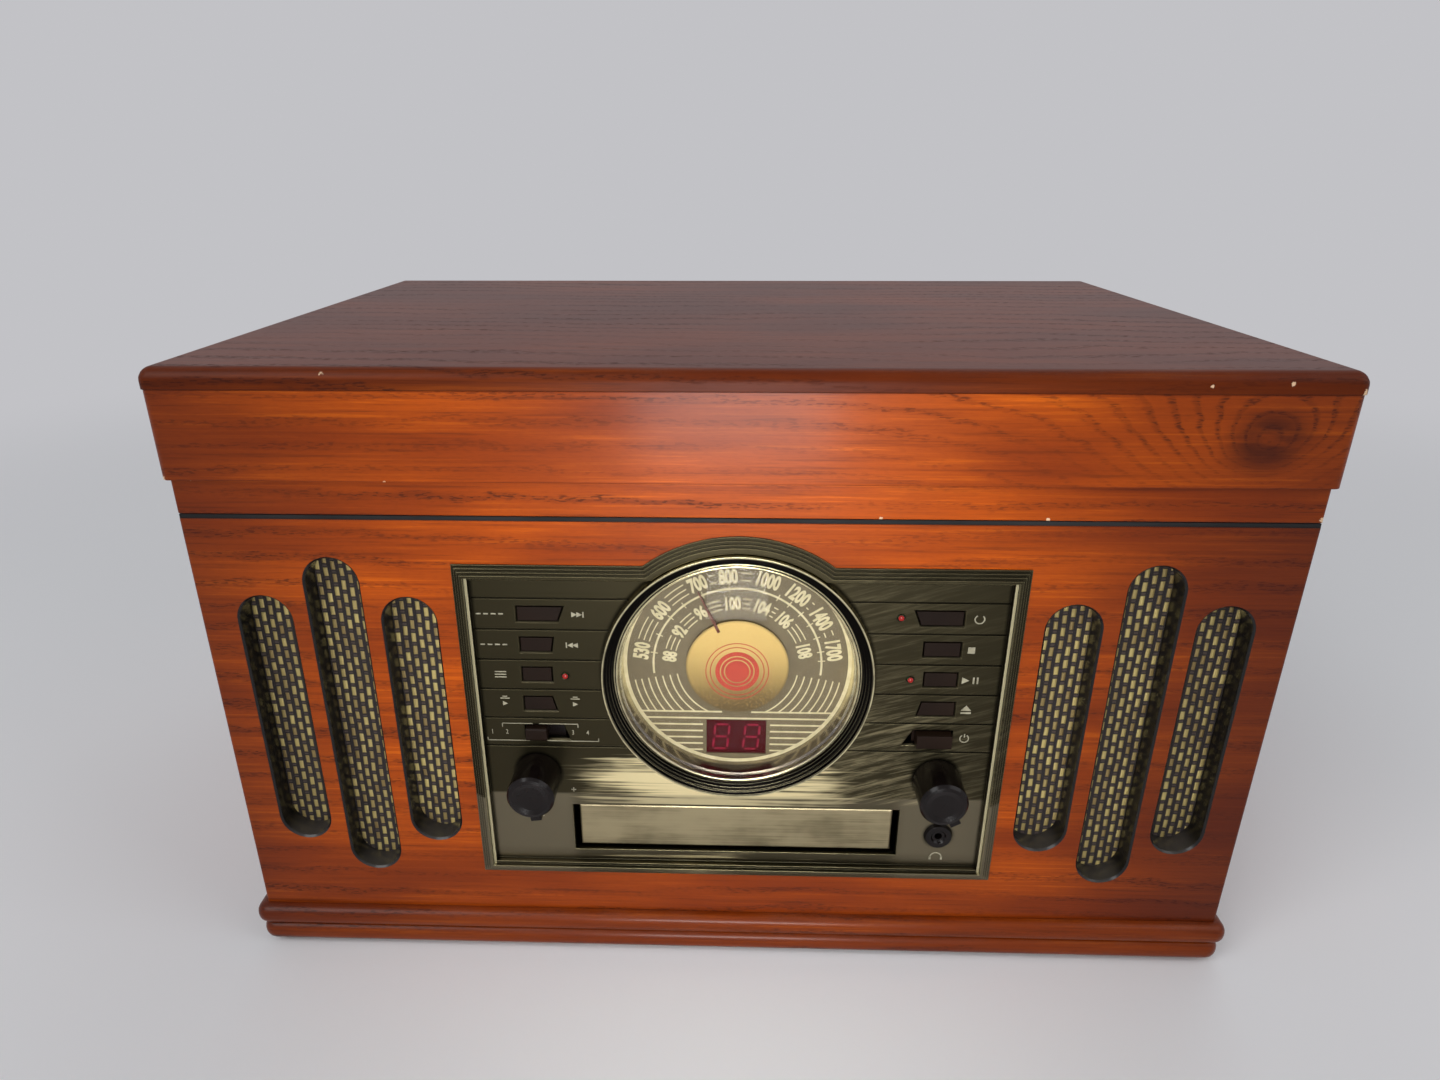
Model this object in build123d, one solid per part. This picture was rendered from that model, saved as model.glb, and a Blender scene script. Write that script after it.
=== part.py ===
from build123d import *
import math
import os

# Wooden record player with a radio, a disc drawer and a cassette slot.
# Millimetres, +Z up, the front looks along -Y, the origin is under the middle of the whole.

# Cabinet
cabinet_width = 488.0
cabinet_depth = 334.0
cabinet_height = 212.5
panel_thickness = 12.0
back_thickness = 9.0
bottom_thickness = 9.0
corner_round = 1.5

# Clearances shared by many pieces
fit_gap = 0.05
stop_gap = 0.3

# Base moulding, two half round beads on a frame
bead_height = 11.25
upper_bead_overhang = 5.4
lower_bead_overhang = 4.2
bead_corner_round = 9.0
bead_roundness = 5.0
base_frame_width = 34.0
foot_radius = 11.0
foot_height = 2.5
foot_taper = 1.0
foot_inset = 22.0

# Lid
lid_gap = 2.4
band_height = 15.6
apron_height = 38.7
apron_overhang = 3.1
top_board_thickness = 9.0
top_board_round = 5.5
shadow_step = 0.5
lid_corner_round = 4.0
bumper_radius = 4.0
bumper_inset = 5.8
bumper_from_back = 111.0
bumper_gap = 0.3

# Hinges, their pins are made with the leaves on the cabinet
hinge_offset = 150.0
hinge_length = 60.0
hinge_barrel_radius = 3.1
hinge_barrel_gap = 0.1
hinge_pin_radius = 1.5
hinge_leaf_height = 24.0
hinge_leaf_thickness = 1.6
hinge_knuckle_gap = 0.3
hinge_corner_gap = 0.6

# Lid stay, a parallelogram with the lid hinge
stay_pivot_forward = 100.0
stay_pivot_drop = 10.0
stay_lid_forward = 67.0
stay_lid_rise = 31.0
stay_bar_width = 10.0
stay_bar_thickness = 2.4
stay_pin_radius = 2.0
stay_side_gap = 0.4

# Grille slots and the cloth behind them, in the room beside the panel
slot_width = 24.0
slot_pitch = 33.0
slot_shift = 2.2
slot_side_gap = 12.0
middle_slot_top = 18.4
middle_slot_length = 169.6
side_slot_top = 37.2
side_slot_length = 132.3
slot_bevel = 0.9
cloth_thickness = 1.0
cloth_margin = 4.0
cloth_side_gap = 1.5

# Speakers
speaker_gap = 6.7
speaker_flange = 2.0
speaker_surround = 4.0
speaker_cone_depth = 19.0
speaker_throat_radius = 13.8
speaker_wall = 1.0
speaker_basket_depth = 24.0
speaker_magnet_radius = 27.0
speaker_magnet_depth = 14.0

# Control panel, a ribbed frame that rises into a hood round the dial
panel_width = 253.2
panel_height = 167.7
panel_top_margin = 20.1
rib_count = 4
rib_pitch = 1.35
rib_step = 1.0
ledge_width = 1.4
ledge_drop = 2.0
panel_recess = 1.0
panel_sheet = 3.0
tub_inset = 4.0
cutout_gap = 0.5
hood_radius = 69.4

# Dial
dial_drop = 75.3
bezel_radius = 62.5
bezel_lip_width = 2.0
bezel_lip_height = 5.4
bezel_lip_edge = 0.65
bezel_lip_bevel = 2.0
bezel_step_count = 5
bezel_step_in = 0.85
bezel_step_down = 1.0
bezel_bead_radius = 0.8
bezel_neck_radius = 56.0
dial_view_radius = 54.6
lens_seat_width = 1.0
lens_seat_depth = 3.0
lens_thickness = 1.6
lens_rise = 7.0
dial_depth = 12.4
dial_plate_radius = 60.0
dial_plate_thickness = 0.8
dial_disc_radius = 24.1
dial_disc_thickness = 1.0
dial_disc_standoff = 1.0
dial_bridge_thickness = 2.0
dial_bridge_margin = 7.0
dial_bridge_leg = 4.0
dial_bridge_width = 6.0
needle_angle = 25.2
needle_inner = 20.4
needle_outer = 43.0
needle_width = 1.3
needle_tip_width = 0.52
needle_thickness = 0.7
needle_clearance = 0.5
pointer_tube_radius = 3.0
pointer_hub_radius = 6.0
pointer_drum_radius = 13.0
pointer_drum_width = 2.0
post_radius = 1.5
display_width = 29.0
display_height = 19.0
display_top_drop = 29.9
display_margin = 2.0
display_body_depth = 3.2

# Button rows
row_top_drop = 36.8
row_pitch = 15.48
row_count = 5
groove_width = 0.9
groove_depth = 0.7
opening_height = 7.2
opening_offset = 4.2
opening_bevel = 0.7
button_gap = 0.25
button_recess = 0.4
button_flange = 1.2
button_flange_thickness = 1.5
button_stem_radius = 1.5
short_travel = 1.8
latch_travel = 2.5
power_travel = 3.5
power_projection = 4.5
power_cap_inner = 83.6
slider_width = 10.0
slider_projection = 3.0
slider_round = 1.0
lamp_radius = 1.5

# Knobs, with a dished end and one grip rib
knob_x = 95.5
knob_drop = 129.5
knob_radius = 11.2
knob_length = 22.0
knob_base_gap = 0.6
knob_edge_width = 1.1
knob_edge_round = 1.8
knob_crest_width = 2.5
knob_crest_drop = 0.4
knob_dish_width = 5.0
knob_dish_slope = 0.8
knob_dish_depth = 1.2
knob_shaft_radius = 3.0
knob_shaft_end_gap = 2.0
knob_rib_width = 5.0
knob_rib_height = 2.0
volume_rib_angle = 172.0
tuning_rib_angle = 150.0

# Headphone socket
jack_x = 99.7
jack_drop = 162.4
jack_ring_radius = 7.0
jack_ring_height = 1.8
jack_ring_bevel = 0.8
jack_land_width = 0.8
jack_mouth_width = 1.2
jack_mouth_depth = 1.0
jack_bore_radius = 1.8
jack_bore_length = 15.0
jack_body_radius = 5.0
jack_case_half = 6.0
jack_case_depth = 3.0

# Control board behind the panel, on four spacers
board_setback = 16.0
board_thickness = 1.6
board_half_width = 112.0
board_top_drop = 40.0
board_bottom_drop = 142.0
board_dial_gap = 2.0
spacer_radius = 3.0
spacer_inset = 4.0
capacitor_half = 9.0
pot_radius = 8.5
pot_depth = 8.0
switch_size = 6.0
switch_height = 5.0

# Disc drawer
drawer_half_width = 80.0
drawer_top_drop = 147.8
drawer_bottom_drop = 174.9
door_side_gap = 2.8
door_edge_gap = 1.25
door_setback = 2.0
door_thickness = 4.0
door_round = 1.2
tray_half_width = 68.0
tray_length = 150.0
tray_thickness = 7.0
tray_lift = 4.5
tray_slot_half = 16.0
disc_radius = 60.0
disc_clearance = 0.8
disc_pocket_depth = 2.5
chassis_wall = 2.5
chassis_depth = 190.0
chassis_start = 14.0
chassis_drop = 8.0
chassis_floor = 2.0
chassis_foot_radius = 4.0
chassis_foot_inset = 8.0
rail_width = 8.0
rail_thickness = 2.0
clamp_length = 70.0
clamp_thickness = 2.0
clamp_rise = 14.6
pickup_half_width = 40.0
pickup_half_length = 30.0
pickup_gap = 1.0

# Turntable deck
deck_recess = 20.0
deck_thickness = 3.0
deck_edge_gap = 0.5
deck_rim_height = 2.0
deck_rim_width = 4.0
deck_well_depth = 1.0
deck_well_margin = 5.0
cleat_width = 10.0
cleat_height = 10.0
bearing_radius = 9.0
bearing_depth = 16.0
bearing_rise = 2.0
bearing_floor = 3.0
pulley_hole_gap = 2.0
cue_socket_wall = 2.0
cue_socket_rise = 8.0
cue_socket_drop = 10.0

# Platter, mat and drive
spindle_x = -62.0
platter_radius = 98.0
platter_thickness = 3.0
platter_lift = 13.0
platter_edge_round = 1.5
platter_skirt_thickness = 2.5
platter_skirt_height = 11.0
platter_skirt_bevel = 1.0
drive_ring_radius = 60.0
drive_ring_thickness = 2.0
drive_ring_height = 8.5
mat_radius = 95.0
mat_thickness = 2.5
mat_label_radius = 30.0
mat_groove_pitch = 12.0
mat_groove_width = 2.0
mat_groove_depth = 0.6
mat_groove_margin = 3.0
spindle_radius = 3.6
spindle_rise = 11.5
spindle_taper = 3.0
spindle_shoulder = 0.9
spindle_tip_radius = 1.4
spindle_tip_height = 1.0
belt_thickness = 0.7
belt_width = 4.0
belt_rise = 1.0
belt_gap = 0.1
pulley_radius = 5.0
pulley_flange = 1.0
pulley_flange_thickness = 1.0
pulley_crown = 0.5
pulley_spare_width = 2.0
pulley_distance = 78.0
pulley_angle = 40.0
motor_radius = 16.0
motor_height = 24.0
motor_round = 1.5
motor_shaft_radius = 1.0
motor_shaft_depth = 8.0
motor_shaft_end_gap = 1.0

# Tonearm
arm_x = 128.0
arm_from_front = 262.0
arm_height = 38.5
arm_length = 223.0
arm_tube_radius = 4.5
arm_tube_end = 14.0
arm_base_radius = 26.0
arm_base_height = 11.0
arm_base_rim = 3.0
arm_base_shoulder = 4.0
arm_base_top_margin = 2.0
turret_stem_radius = 5.0
turret_floor = 1.0
yoke_radius = 15.0
yoke_gap = 0.3
yoke_plate = 5.0
yoke_fork_width = 3.0
yoke_fork_half_gap = 6.0
yoke_fork_depth = 12.0
yoke_fork_rise = 5.0
trunnion_radius = 1.5
counterweight_radius = 11.0
counterweight_start = 20.0
counterweight_end = 44.0
counterweight_overlap = 2.0
shell_width = 18.0
shell_length = 40.0
shell_thickness = 3.5
shell_corner = 4.0
shell_turn = 18.0
finger_length = 9.0
finger_width = 4.0
finger_from_end = 8.0
finger_thickness = 1.5

# Cartridge and stylus holder
cartridge_width = 13.0
cartridge_length = 24.0
cartridge_height = 11.0
cartridge_nose = 4.0
holder_width = 4.0
holder_half_length = 6.0
holder_step = 1.0
stylus_drop = 2.4
stylus_length = 2.0

# Cueing lift
cue_bar_radius = 38.0
cue_bar_section = 4.0
cue_bar_middle = 25.0
cue_bar_sweep = 74.0
cue_post_radius = 2.4
cue_post_depth = 4.0
cue_ear_inset = 2.0
cue_ear_thickness = 3.0
cue_ear_gap = 6.0
cue_ear_depth = 10.0
cue_ear_foot = 2.0
cue_ear_rise = 4.0
cue_lever_rise = 9.0
cue_lever_length = 34.0
cue_lever_lift = 6.0
cue_lever_width = 6.0
cue_pad_overhang = 1.0
cue_pad_front = 2.0
cue_pad_back = 4.0
cue_pad_height = 8.0

# Arm rest and speed lever on the deck
rest_distance = 150.0
rest_width = 8.0
rest_inner = 5.0
rest_outer = 11.0
rest_stop_rise = 3.0
speed_lever_x = 178.0
speed_lever_from_front = 62.0
speed_lever_reach = 18.0
speed_lever_width = 9.0
speed_lever_thickness = 4.0
speed_pin_radius = 2.5
speed_pin_depth = 3.0
speed_grip_radius = 3.0
speed_grip_height = 5.0

# Cassette slot in the right side
cassette_from_front = 150.0
cassette_length = 112.0
cassette_bottom = 120.0
cassette_height = 32.0
cassette_depth = 72.0
cassette_plate = 1.5
cassette_plate_margin = 4.0
cassette_plate_round = 3.0
tape_slot_length = 104.0
tape_slot_height = 14.0
tape_slot_depth = 68.0
tape_slot_drop = 3.5
flap_thickness = 1.0
flap_setback = 1.0
flap_pin_radius = 0.6
flap_pin_length = 1.5
key_length = 13.0
key_height = 6.4
key_rise = 3.0
key_room_depth = 12.0
key_projection = 3.0
key_travel = 3.0
key_round = 1.0

# Back
line_jack_height = 34.0
line_jack_from_side = 122.0
line_jack_radius = 4.15
line_jack_bore = 1.6
line_jack_length = 8.0
line_jack_pitch = 14.0
line_plate_thickness = 1.5
line_plate_margin = 7.0
line_plate_round = 3.0
line_tail_gap = 1.0
line_tail_depth = 4.0
gland_from_side = 122.0
gland_radius = 5.5
gland_bore = 3.0
gland_tail = 5.0
gland_flange_radius = 8.0
gland_flange_thickness = 2.0
gland_nose_radius = 5.0
gland_length = 5.0
vent_count = 9
vent_pitch = 10.0
vent_width = 4.0
vent_height = 46.0

# Power board
power_board_width = 104.0
power_board_depth = 84.0
power_board_from_back = 20.0
power_board_from_side = 112.0
transformer_length = 58.0
transformer_width = 46.0
transformer_height = 44.0
transformer_inset = 8.0
winding_overhang = 7.5
winding_end_gap = 9.5
winding_drop = 8.0
standoff_radius = 3.0
standoff_height = 6.0
standoff_inset = 6.0
can_radius = 9.0
can_height = 30.0
can_inset = 16.0
can_spacing = 44.0

# Places worked out from the sizes above
base_top = foot_height + 2 * bead_height
cabinet_top = base_top + cabinet_height
lid_bottom = cabinet_top + lid_gap
apron_bottom = lid_bottom + band_height
board_bottom = apron_bottom + apron_height
lid_top = board_bottom + top_board_thickness
half_width = cabinet_width / 2
side_inner = half_width - panel_thickness
lid_half_width = half_width + apron_overhang
bay_middle = (panel_width / 2 + side_inner) / 2 + slot_shift
front_reach = knob_length - panel_recess
rear_reach = line_plate_thickness + line_jack_length
front_y = (front_reach - rear_reach - cabinet_depth) / 2
back_y = front_y + cabinet_depth
wall_back = front_y + panel_thickness
rear_inner = back_y - back_thickness
lid_rear_inner = back_y - panel_thickness
floor_z = base_top + bottom_thickness
panel_y = front_y + panel_recess
panel_back = panel_y + panel_sheet
board_front = panel_back + board_setback
panel_top = cabinet_top - panel_top_margin
panel_middle_z = panel_top - panel_height / 2
frame_width = rib_count * rib_pitch + ledge_width
dial_z = cabinet_top - dial_drop
dial_y = front_y + dial_depth
knob_z = cabinet_top - knob_drop
jack_z = cabinet_top - jack_drop
deck_top = cabinet_top - deck_recess
deck_bottom = deck_top - deck_thickness
deck_front = wall_back + cloth_thickness + deck_edge_gap
spindle_y = front_y + cabinet_depth / 2
platter_top = deck_top + platter_lift + platter_thickness
mat_top = platter_top + mat_thickness
arm_y = front_y + arm_from_front
arm_z = deck_top + arm_height
hinge_y = back_y + hinge_barrel_radius + hinge_barrel_gap
hinge_z = cabinet_top + lid_gap / 2
line_jack_x = half_width - line_jack_from_side
line_jack_z = floor_z + line_jack_height
gland_x = gland_from_side - half_width


# Helpers
def block(x, y, z):
    """Box between the low and high value on each axis."""
    spans = (x, y, z)
    size = [high - low for low, high in spans]
    middle = [(high + low) / 2 for low, high in spans]
    return Pos(*middle) * Box(*size)


def about(middle, half):
    """Low and high value at a distance on both sides of a middle."""
    return middle - half, middle + half


def rod_x(x, y, z, radius):
    return Pos(sum(x) / 2, y, z) * Rot(0, 90, 0) * Cylinder(radius, x[1] - x[0])


def rod_y(x, y, z, radius):
    return Pos(x, sum(y) / 2, z) * Rot(90, 0, 0) * Cylinder(radius, y[1] - y[0])


def rod_z(x, y, z, radius):
    return Pos(x, y, sum(z) / 2) * Cylinder(radius, z[1] - z[0])


def forward(outline, y, depth, taper=0):
    """Extrude an outline drawn in (x, z) from y towards the front."""
    plane = Plane(origin=(0, y, 0), x_dir=(1, 0, 0), z_dir=(0, -1, 0))
    return extrude(plane * outline, depth, taper=taper)


def upward(outline, z, height):
    """Extrude an outline drawn in (x, y) from z upwards."""
    return extrude(Pos(0, 0, z) * outline, height)


def turned_y(points, x, z):
    """Turn a closed profile of (radius, y) points about a line along Y."""
    return Pos(x, 0, z) * revolve(Polygon(*points, align=None), Axis.Y)


def turned_z(points, x, y):
    """Turn a closed profile of (radius, z) points about a line along Z."""
    profile = Plane.XZ * Polygon(*points, align=None)
    return Pos(x, y, 0) * revolve(profile, Axis.Z)


def ring_frame(outer_x, outer_y, inner_x, inner_y, z):
    return block(outer_x, outer_y, z) - block(inner_x, inner_y, z)


def bar_between(x, start, end, width):
    """Flat bar with round ends between two (y, z) points, x gives its two faces."""
    run = math.dist(start, end)
    angle = math.degrees(math.atan2(end[1] - start[1], end[0] - start[0]))
    outline = SlotCenterToCenter(run, width)
    solid = Pos(run / 2, 0, 0) * extrude(outline, x[1] - x[0])
    upright = Plane(origin=(x[0], start[0], start[1]), x_dir=(0, 1, 0), z_dir=(1, 0, 0))
    return upright * Rot(0, 0, angle) * solid


def both_sides(solid):
    """The solid and its mirror image across the middle plane."""
    return [solid, mirror(solid, about=Plane.YZ)]


def joined(solid, pieces):
    for piece in pieces:
        solid += piece
    return solid


def save(name, shape):
    if isinstance(shape, list):
        solids = [solid for item in shape for solid in item.solids()]
        shape = Compound(children=solids)
    shape.label = name
    export_step(shape, os.path.join("parts", name + ".step"))


# Cabinet
def slot_places():
    """Middle x, top edge below the cabinet's top and length of each slot in the room beside the panel."""
    room = half_width - panel_width / 2
    count = 1 + int((room - slot_width - 2 * slot_side_gap) / slot_pitch)
    places = []
    for side in (-1, 1):
        for index in range(count):
            step = index - (count - 1) / 2
            top = side_slot_top if step else middle_slot_top
            length = side_slot_length if step else middle_slot_length
            places.append((side * (bay_middle + step * slot_pitch), top, length))
    return places


def slot_outline():
    outline = Sketch()
    for x, top, length in slot_places():
        slot = SlotOverall(length, slot_width, rotation=90)
        outline += Pos(x, cabinet_top - top - length / 2) * slot
    return outline


def panel_outline(inset):
    frame = Rectangle(panel_width - 2 * inset, panel_height - 2 * inset)
    return Pos(0, panel_middle_z) * frame + Pos(0, dial_z) * Circle(hood_radius - inset)


def front_panel():
    board = block((-half_width, half_width), (front_y, wall_back), (base_top, cabinet_top))
    front_corners = board.edges().filter_by(Axis.Z).group_by(Axis.Y)[0]
    board = fillet(front_corners, corner_round)
    board -= forward(slot_outline(), wall_back, panel_thickness)
    board -= forward(slot_outline(), front_y + slot_bevel, slot_bevel, taper=-45)
    return board - forward(panel_outline(tub_inset - cutout_gap), wall_back, panel_thickness)


def side_panel():
    board = block((side_inner, half_width), (wall_back, back_y), (base_top, cabinet_top))
    cleat = block(
        (side_inner - cleat_width, side_inner),
        (deck_front, rear_inner),
        (deck_bottom - cleat_height, deck_bottom),
    )
    return board + cleat


def left_side_panel():
    return mirror(side_panel(), about=Plane.YZ)


def right_side_panel():
    opening = block(
        (side_inner, half_width),
        (front_y + cassette_from_front, front_y + cassette_from_front + cassette_length),
        (cassette_bottom, cassette_bottom + cassette_height),
    )
    return side_panel() - opening


def rear_panel():
    board = block((-side_inner, side_inner), (rear_inner, back_y), (base_top, cabinet_top))
    vent = SlotOverall(vent_height, vent_width, rotation=90)
    for index in range(vent_count):
        place = (index - (vent_count - 1) / 2) * vent_pitch
        board -= forward(Pos(place, (floor_z + deck_bottom) / 2) * vent, back_y, back_thickness)
    board -= rod_y(gland_x, (rear_inner, back_y), line_jack_z, gland_radius + fit_gap)
    line_hole = Pos(line_jack_x, line_jack_z) * Rectangle(2 * line_jack_pitch, line_jack_pitch)
    return board - forward(line_hole, back_y, back_thickness)


def bottom_board():
    return block((-side_inner, side_inner), (wall_back, rear_inner), (base_top, floor_z))


def bead(overhang, low):
    """Half round bead, square at the back."""
    edge = half_width + overhang
    top = low + bead_height
    slab = block((-edge, edge), (front_y - overhang, back_y + bead_corner_round), (low, top))
    slab = fillet(slab.edges().filter_by(Axis.Z), bead_corner_round - overhang / 2)
    rims = slab.edges().group_by(Axis.Z)
    slab = fillet(rims[0] + rims[-1], bead_roundness)
    return slab - block((-edge, edge), (back_y, back_y + cabinet_depth), (low, top))


def base_moulding():
    solid = bead(lower_bead_overhang, foot_height) + bead(upper_bead_overhang, foot_height + bead_height)
    inner = half_width - base_frame_width
    window = block(
        (-inner, inner),
        (front_y + base_frame_width, back_y - base_frame_width),
        (foot_height, base_top),
    )
    return solid - window


def rubber_feet():
    feet = []
    profile = [(0, 0), (foot_radius - foot_taper, 0), (foot_radius, foot_height), (0, foot_height)]
    for y in (front_y + foot_inset, back_y - foot_inset):
        feet += both_sides(turned_z(profile, half_width - foot_inset, y))
    return feet


# Lid
def lid_top_board():
    x = about(0, lid_half_width)
    board = block(x, (front_y - apron_overhang, back_y), (board_bottom, lid_top))
    board = fillet(board.edges().filter_by(Axis.Z), lid_corner_round)
    return fillet(board.edges().group_by(Axis.Z)[-1], top_board_round)


def lid_apron():
    z = (apron_bottom, board_bottom)
    x = about(0, lid_half_width - shadow_step)
    apron = block(x, (front_y - apron_overhang + shadow_step, back_y), z)
    apron = fillet(apron.edges().filter_by(Axis.Z), lid_corner_round)
    apron -= block((-side_inner, side_inner), (wall_back, lid_rear_inner), z)
    return joined(apron, both_sides(stay_stud()))


def stay_stud():
    """Pin on the lid that the upper stay arm hangs on."""
    outer, inner = stay_planes()
    wall_pivot, elbow, lid_pivot = stay_points()
    return rod_x((outer[0], side_inner + fit_gap), lid_pivot[0], lid_pivot[1], stay_pin_radius)


def lid_band():
    band = ring_frame(
        (-half_width, half_width), (front_y, back_y),
        (-side_inner, side_inner), (wall_back, lid_rear_inner),
        (lid_bottom, apron_bottom),
    )
    corners = band.edges().filter_by(Axis.Z).group_by(Axis.Y)[0]
    return fillet(corners, corner_round)


def lid_bumpers():
    low = cabinet_top + bumper_gap
    pads = []
    for y in (front_y + bumper_inset, back_y - bumper_from_back):
        pads += both_sides(rod_z(half_width - bumper_inset, y, (low, lid_bottom), bumper_radius))
    return pads


def hinge_knuckle(x):
    return rod_x(x, hinge_y, hinge_z, hinge_barrel_radius)


def hinge_plate(z, tabs, tab_z):
    """Flat leaf on the back of the wood, with tabs that reach the barrel."""
    depth = (back_y, back_y + hinge_leaf_thickness)
    plate = block(about(hinge_offset, hinge_length / 2), depth, z)
    for tab in tabs:
        plate += block(tab, depth, tab_z)
    return plate


def hinge_tab_spans():
    third = hinge_length / 3
    low = hinge_offset - hinge_length / 2
    left = (low, low + third - hinge_knuckle_gap)
    right = (low + 2 * third + hinge_knuckle_gap, low + hinge_length)
    return left, (low + third, low + 2 * third), right


def hinge_body_leaves():
    left, middle, right = hinge_tab_spans()
    top = hinge_z - hinge_barrel_radius - hinge_corner_gap
    leaf = hinge_plate((top - hinge_leaf_height, top), (left, right), (top, hinge_z))
    leaf += hinge_knuckle(left) + hinge_knuckle(right)
    leaf += rod_x((left[0], right[1]), hinge_y, hinge_z, hinge_pin_radius)
    return both_sides(leaf)


def hinge_lid_leaves():
    left, middle, right = hinge_tab_spans()
    low = hinge_z + hinge_barrel_radius + hinge_corner_gap
    leaf = hinge_plate((low, low + hinge_leaf_height), (middle,), (hinge_z, low))
    leaf -= hinge_knuckle(middle)
    leaf += hinge_knuckle(middle)
    leaf -= rod_x(middle, hinge_y, hinge_z, hinge_pin_radius + fit_gap)
    return both_sides(leaf)


# Lid stay, its points are (y, z) with the lid closed
def stay_points():
    wall_pivot = (hinge_y - stay_pivot_forward, hinge_z - stay_pivot_drop)
    lid_pivot = (hinge_y - stay_lid_forward, hinge_z + stay_lid_rise)
    elbow = (lid_pivot[0] - stay_pivot_forward, lid_pivot[1] - stay_pivot_drop)
    return wall_pivot, elbow, lid_pivot


def stay_planes():
    """Faces of the bar beside the wall and of the inner bar, along x."""
    near = side_inner - stay_side_gap
    outer = (near - stay_bar_thickness, near)
    far = outer[0] - stay_side_gap
    return outer, (far - stay_bar_thickness, far)


def stay_lower_arm():
    wall_pivot, elbow, lid_pivot = stay_points()
    outer, inner = stay_planes()
    bar = bar_between(inner, wall_pivot, elbow, stay_bar_width)
    bar -= rod_x(inner, elbow[0], elbow[1], stay_pin_radius + fit_gap)
    return bar + rod_x((inner[0], side_inner), wall_pivot[0], wall_pivot[1], stay_pin_radius)


def stay_upper_arm():
    wall_pivot, elbow, lid_pivot = stay_points()
    outer, inner = stay_planes()
    bar = bar_between(outer, elbow, lid_pivot, stay_bar_width)
    bar -= rod_x(outer, lid_pivot[0], lid_pivot[1], stay_pin_radius + stop_gap)
    return bar + rod_x((inner[0], outer[1]), elbow[0], elbow[1], stay_pin_radius)


# Grilles and speakers
def grille_cloths():
    top = cabinet_top - middle_slot_top + cloth_margin
    low = top - middle_slot_length - 2 * cloth_margin
    x = (panel_width / 2 + cloth_margin, side_inner - cloth_side_gap)
    return both_sides(block(x, (wall_back, wall_back + cloth_thickness), (low, top)))


def speakers():
    """Rim, basket and magnet in one turned shape, with the cone as its hollow front."""
    face = wall_back + cloth_thickness
    radius = (side_inner - panel_width / 2) / 2 - speaker_gap
    basket_end = face + speaker_basket_depth
    magnet_end = basket_end + speaker_magnet_depth
    profile = [
        (0, face + speaker_cone_depth),
        (speaker_throat_radius, face + speaker_cone_depth),
        (radius - speaker_surround, face + speaker_flange),
        (radius - speaker_surround, face),
        (radius, face),
        (radius, face + speaker_flange),
        (radius - speaker_flange, face + speaker_flange + speaker_wall),
        (speaker_magnet_radius, basket_end),
        (speaker_magnet_radius, magnet_end),
        (0, magnet_end),
    ]
    z = cabinet_top - middle_slot_top - middle_slot_length / 2
    return both_sides(turned_y(profile, bay_middle, z))


# Control panel
def row_top(row):
    return cabinet_top - row_top_drop - row * row_pitch


def opening_corners(row, inner_top, inner_low, outer, side):
    """Corners of a button opening, side is -1 on the left and 1 on the right."""
    top = row_top(row) - opening_offset
    low = top - opening_height
    corners = [(side * outer, top), (side * outer, low), (side * inner_low, low), (side * inner_top, top)]
    return corners if side < 0 else corners[::-1]


# Each opening: row, inner end at the top, inner end at the bottom, outer end, side
openings = {
    "skip_forward_button": (0, 78.7, 81.5, 99.7, -1),
    "skip_back_button": (1, 84.0, 85.2, 99.2, -1),
    "program_button": (2, 85.6, 85.6, 99.4, -1),
    "band_button": (3, 86.2, 84.4, 99.6, -1),
    "function_slider": (4, 82.0, 79.4, 99.8, -1),
    "repeat_button": (0, 78.7, 81.5, 100.2, 1),
    "stop_button": (1, 83.8, 83.8, 100.3, 1),
    "play_pause_button": (2, 85.2, 85.2, 100.2, 1),
    "open_close_button": (3, 85.2, 83.4, 100.6, 1),
    "power_button": (4, 82.8, 78.4, 100.4, 1),
}
# Each lamp: x and how far it lies below the cabinet's top
lamp_places = {"program": (-79.4, 76.0), "repeat": (72.4, 44.3), "play": (79.0, 75.5)}


def opening_face(name):
    return Polygon(*opening_corners(*openings[name]), align=None)


def grown(outline, distance):
    return offset(outline, distance, kind=Kind.INTERSECTION)


def drawer_outline(gap_side=0.0, gap_edge=0.0):
    height = drawer_bottom_drop - drawer_top_drop - 2 * gap_edge
    middle = cabinet_top - (drawer_top_drop + drawer_bottom_drop) / 2
    return Pos(0, middle) * Rectangle(2 * (drawer_half_width - gap_side), height)


def panel_pocket():
    """The sunk face inside the ribs, its ledge and the round seat of the dial."""
    field = Pos(0, panel_middle_z) * Rectangle(panel_width - 2 * frame_width, panel_height - 2 * frame_width)
    seat = Pos(0, dial_z) * Circle(bezel_radius + button_gap)
    rise = rib_count * rib_step
    pocket = forward(field + seat, panel_y, panel_recess + rise)
    return pocket + forward(grown(field, ledge_width), front_y - ledge_drop, rise)


def row_grooves():
    half = panel_width / 2 - frame_width
    depth = (panel_y, panel_y + groove_depth)
    spans = [about(row_top(row), groove_width / 2) for row in range(row_count + 1)]
    return [block((-half, half), depth, span) for span in spans]


def dial_collar():
    """Ring behind the panel that the dial plate rests on."""
    ring = Circle(dial_plate_radius) - Circle(bezel_neck_radius + stop_gap)
    return forward(Pos(0, dial_z) * ring, dial_y, dial_y - panel_back)


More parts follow.
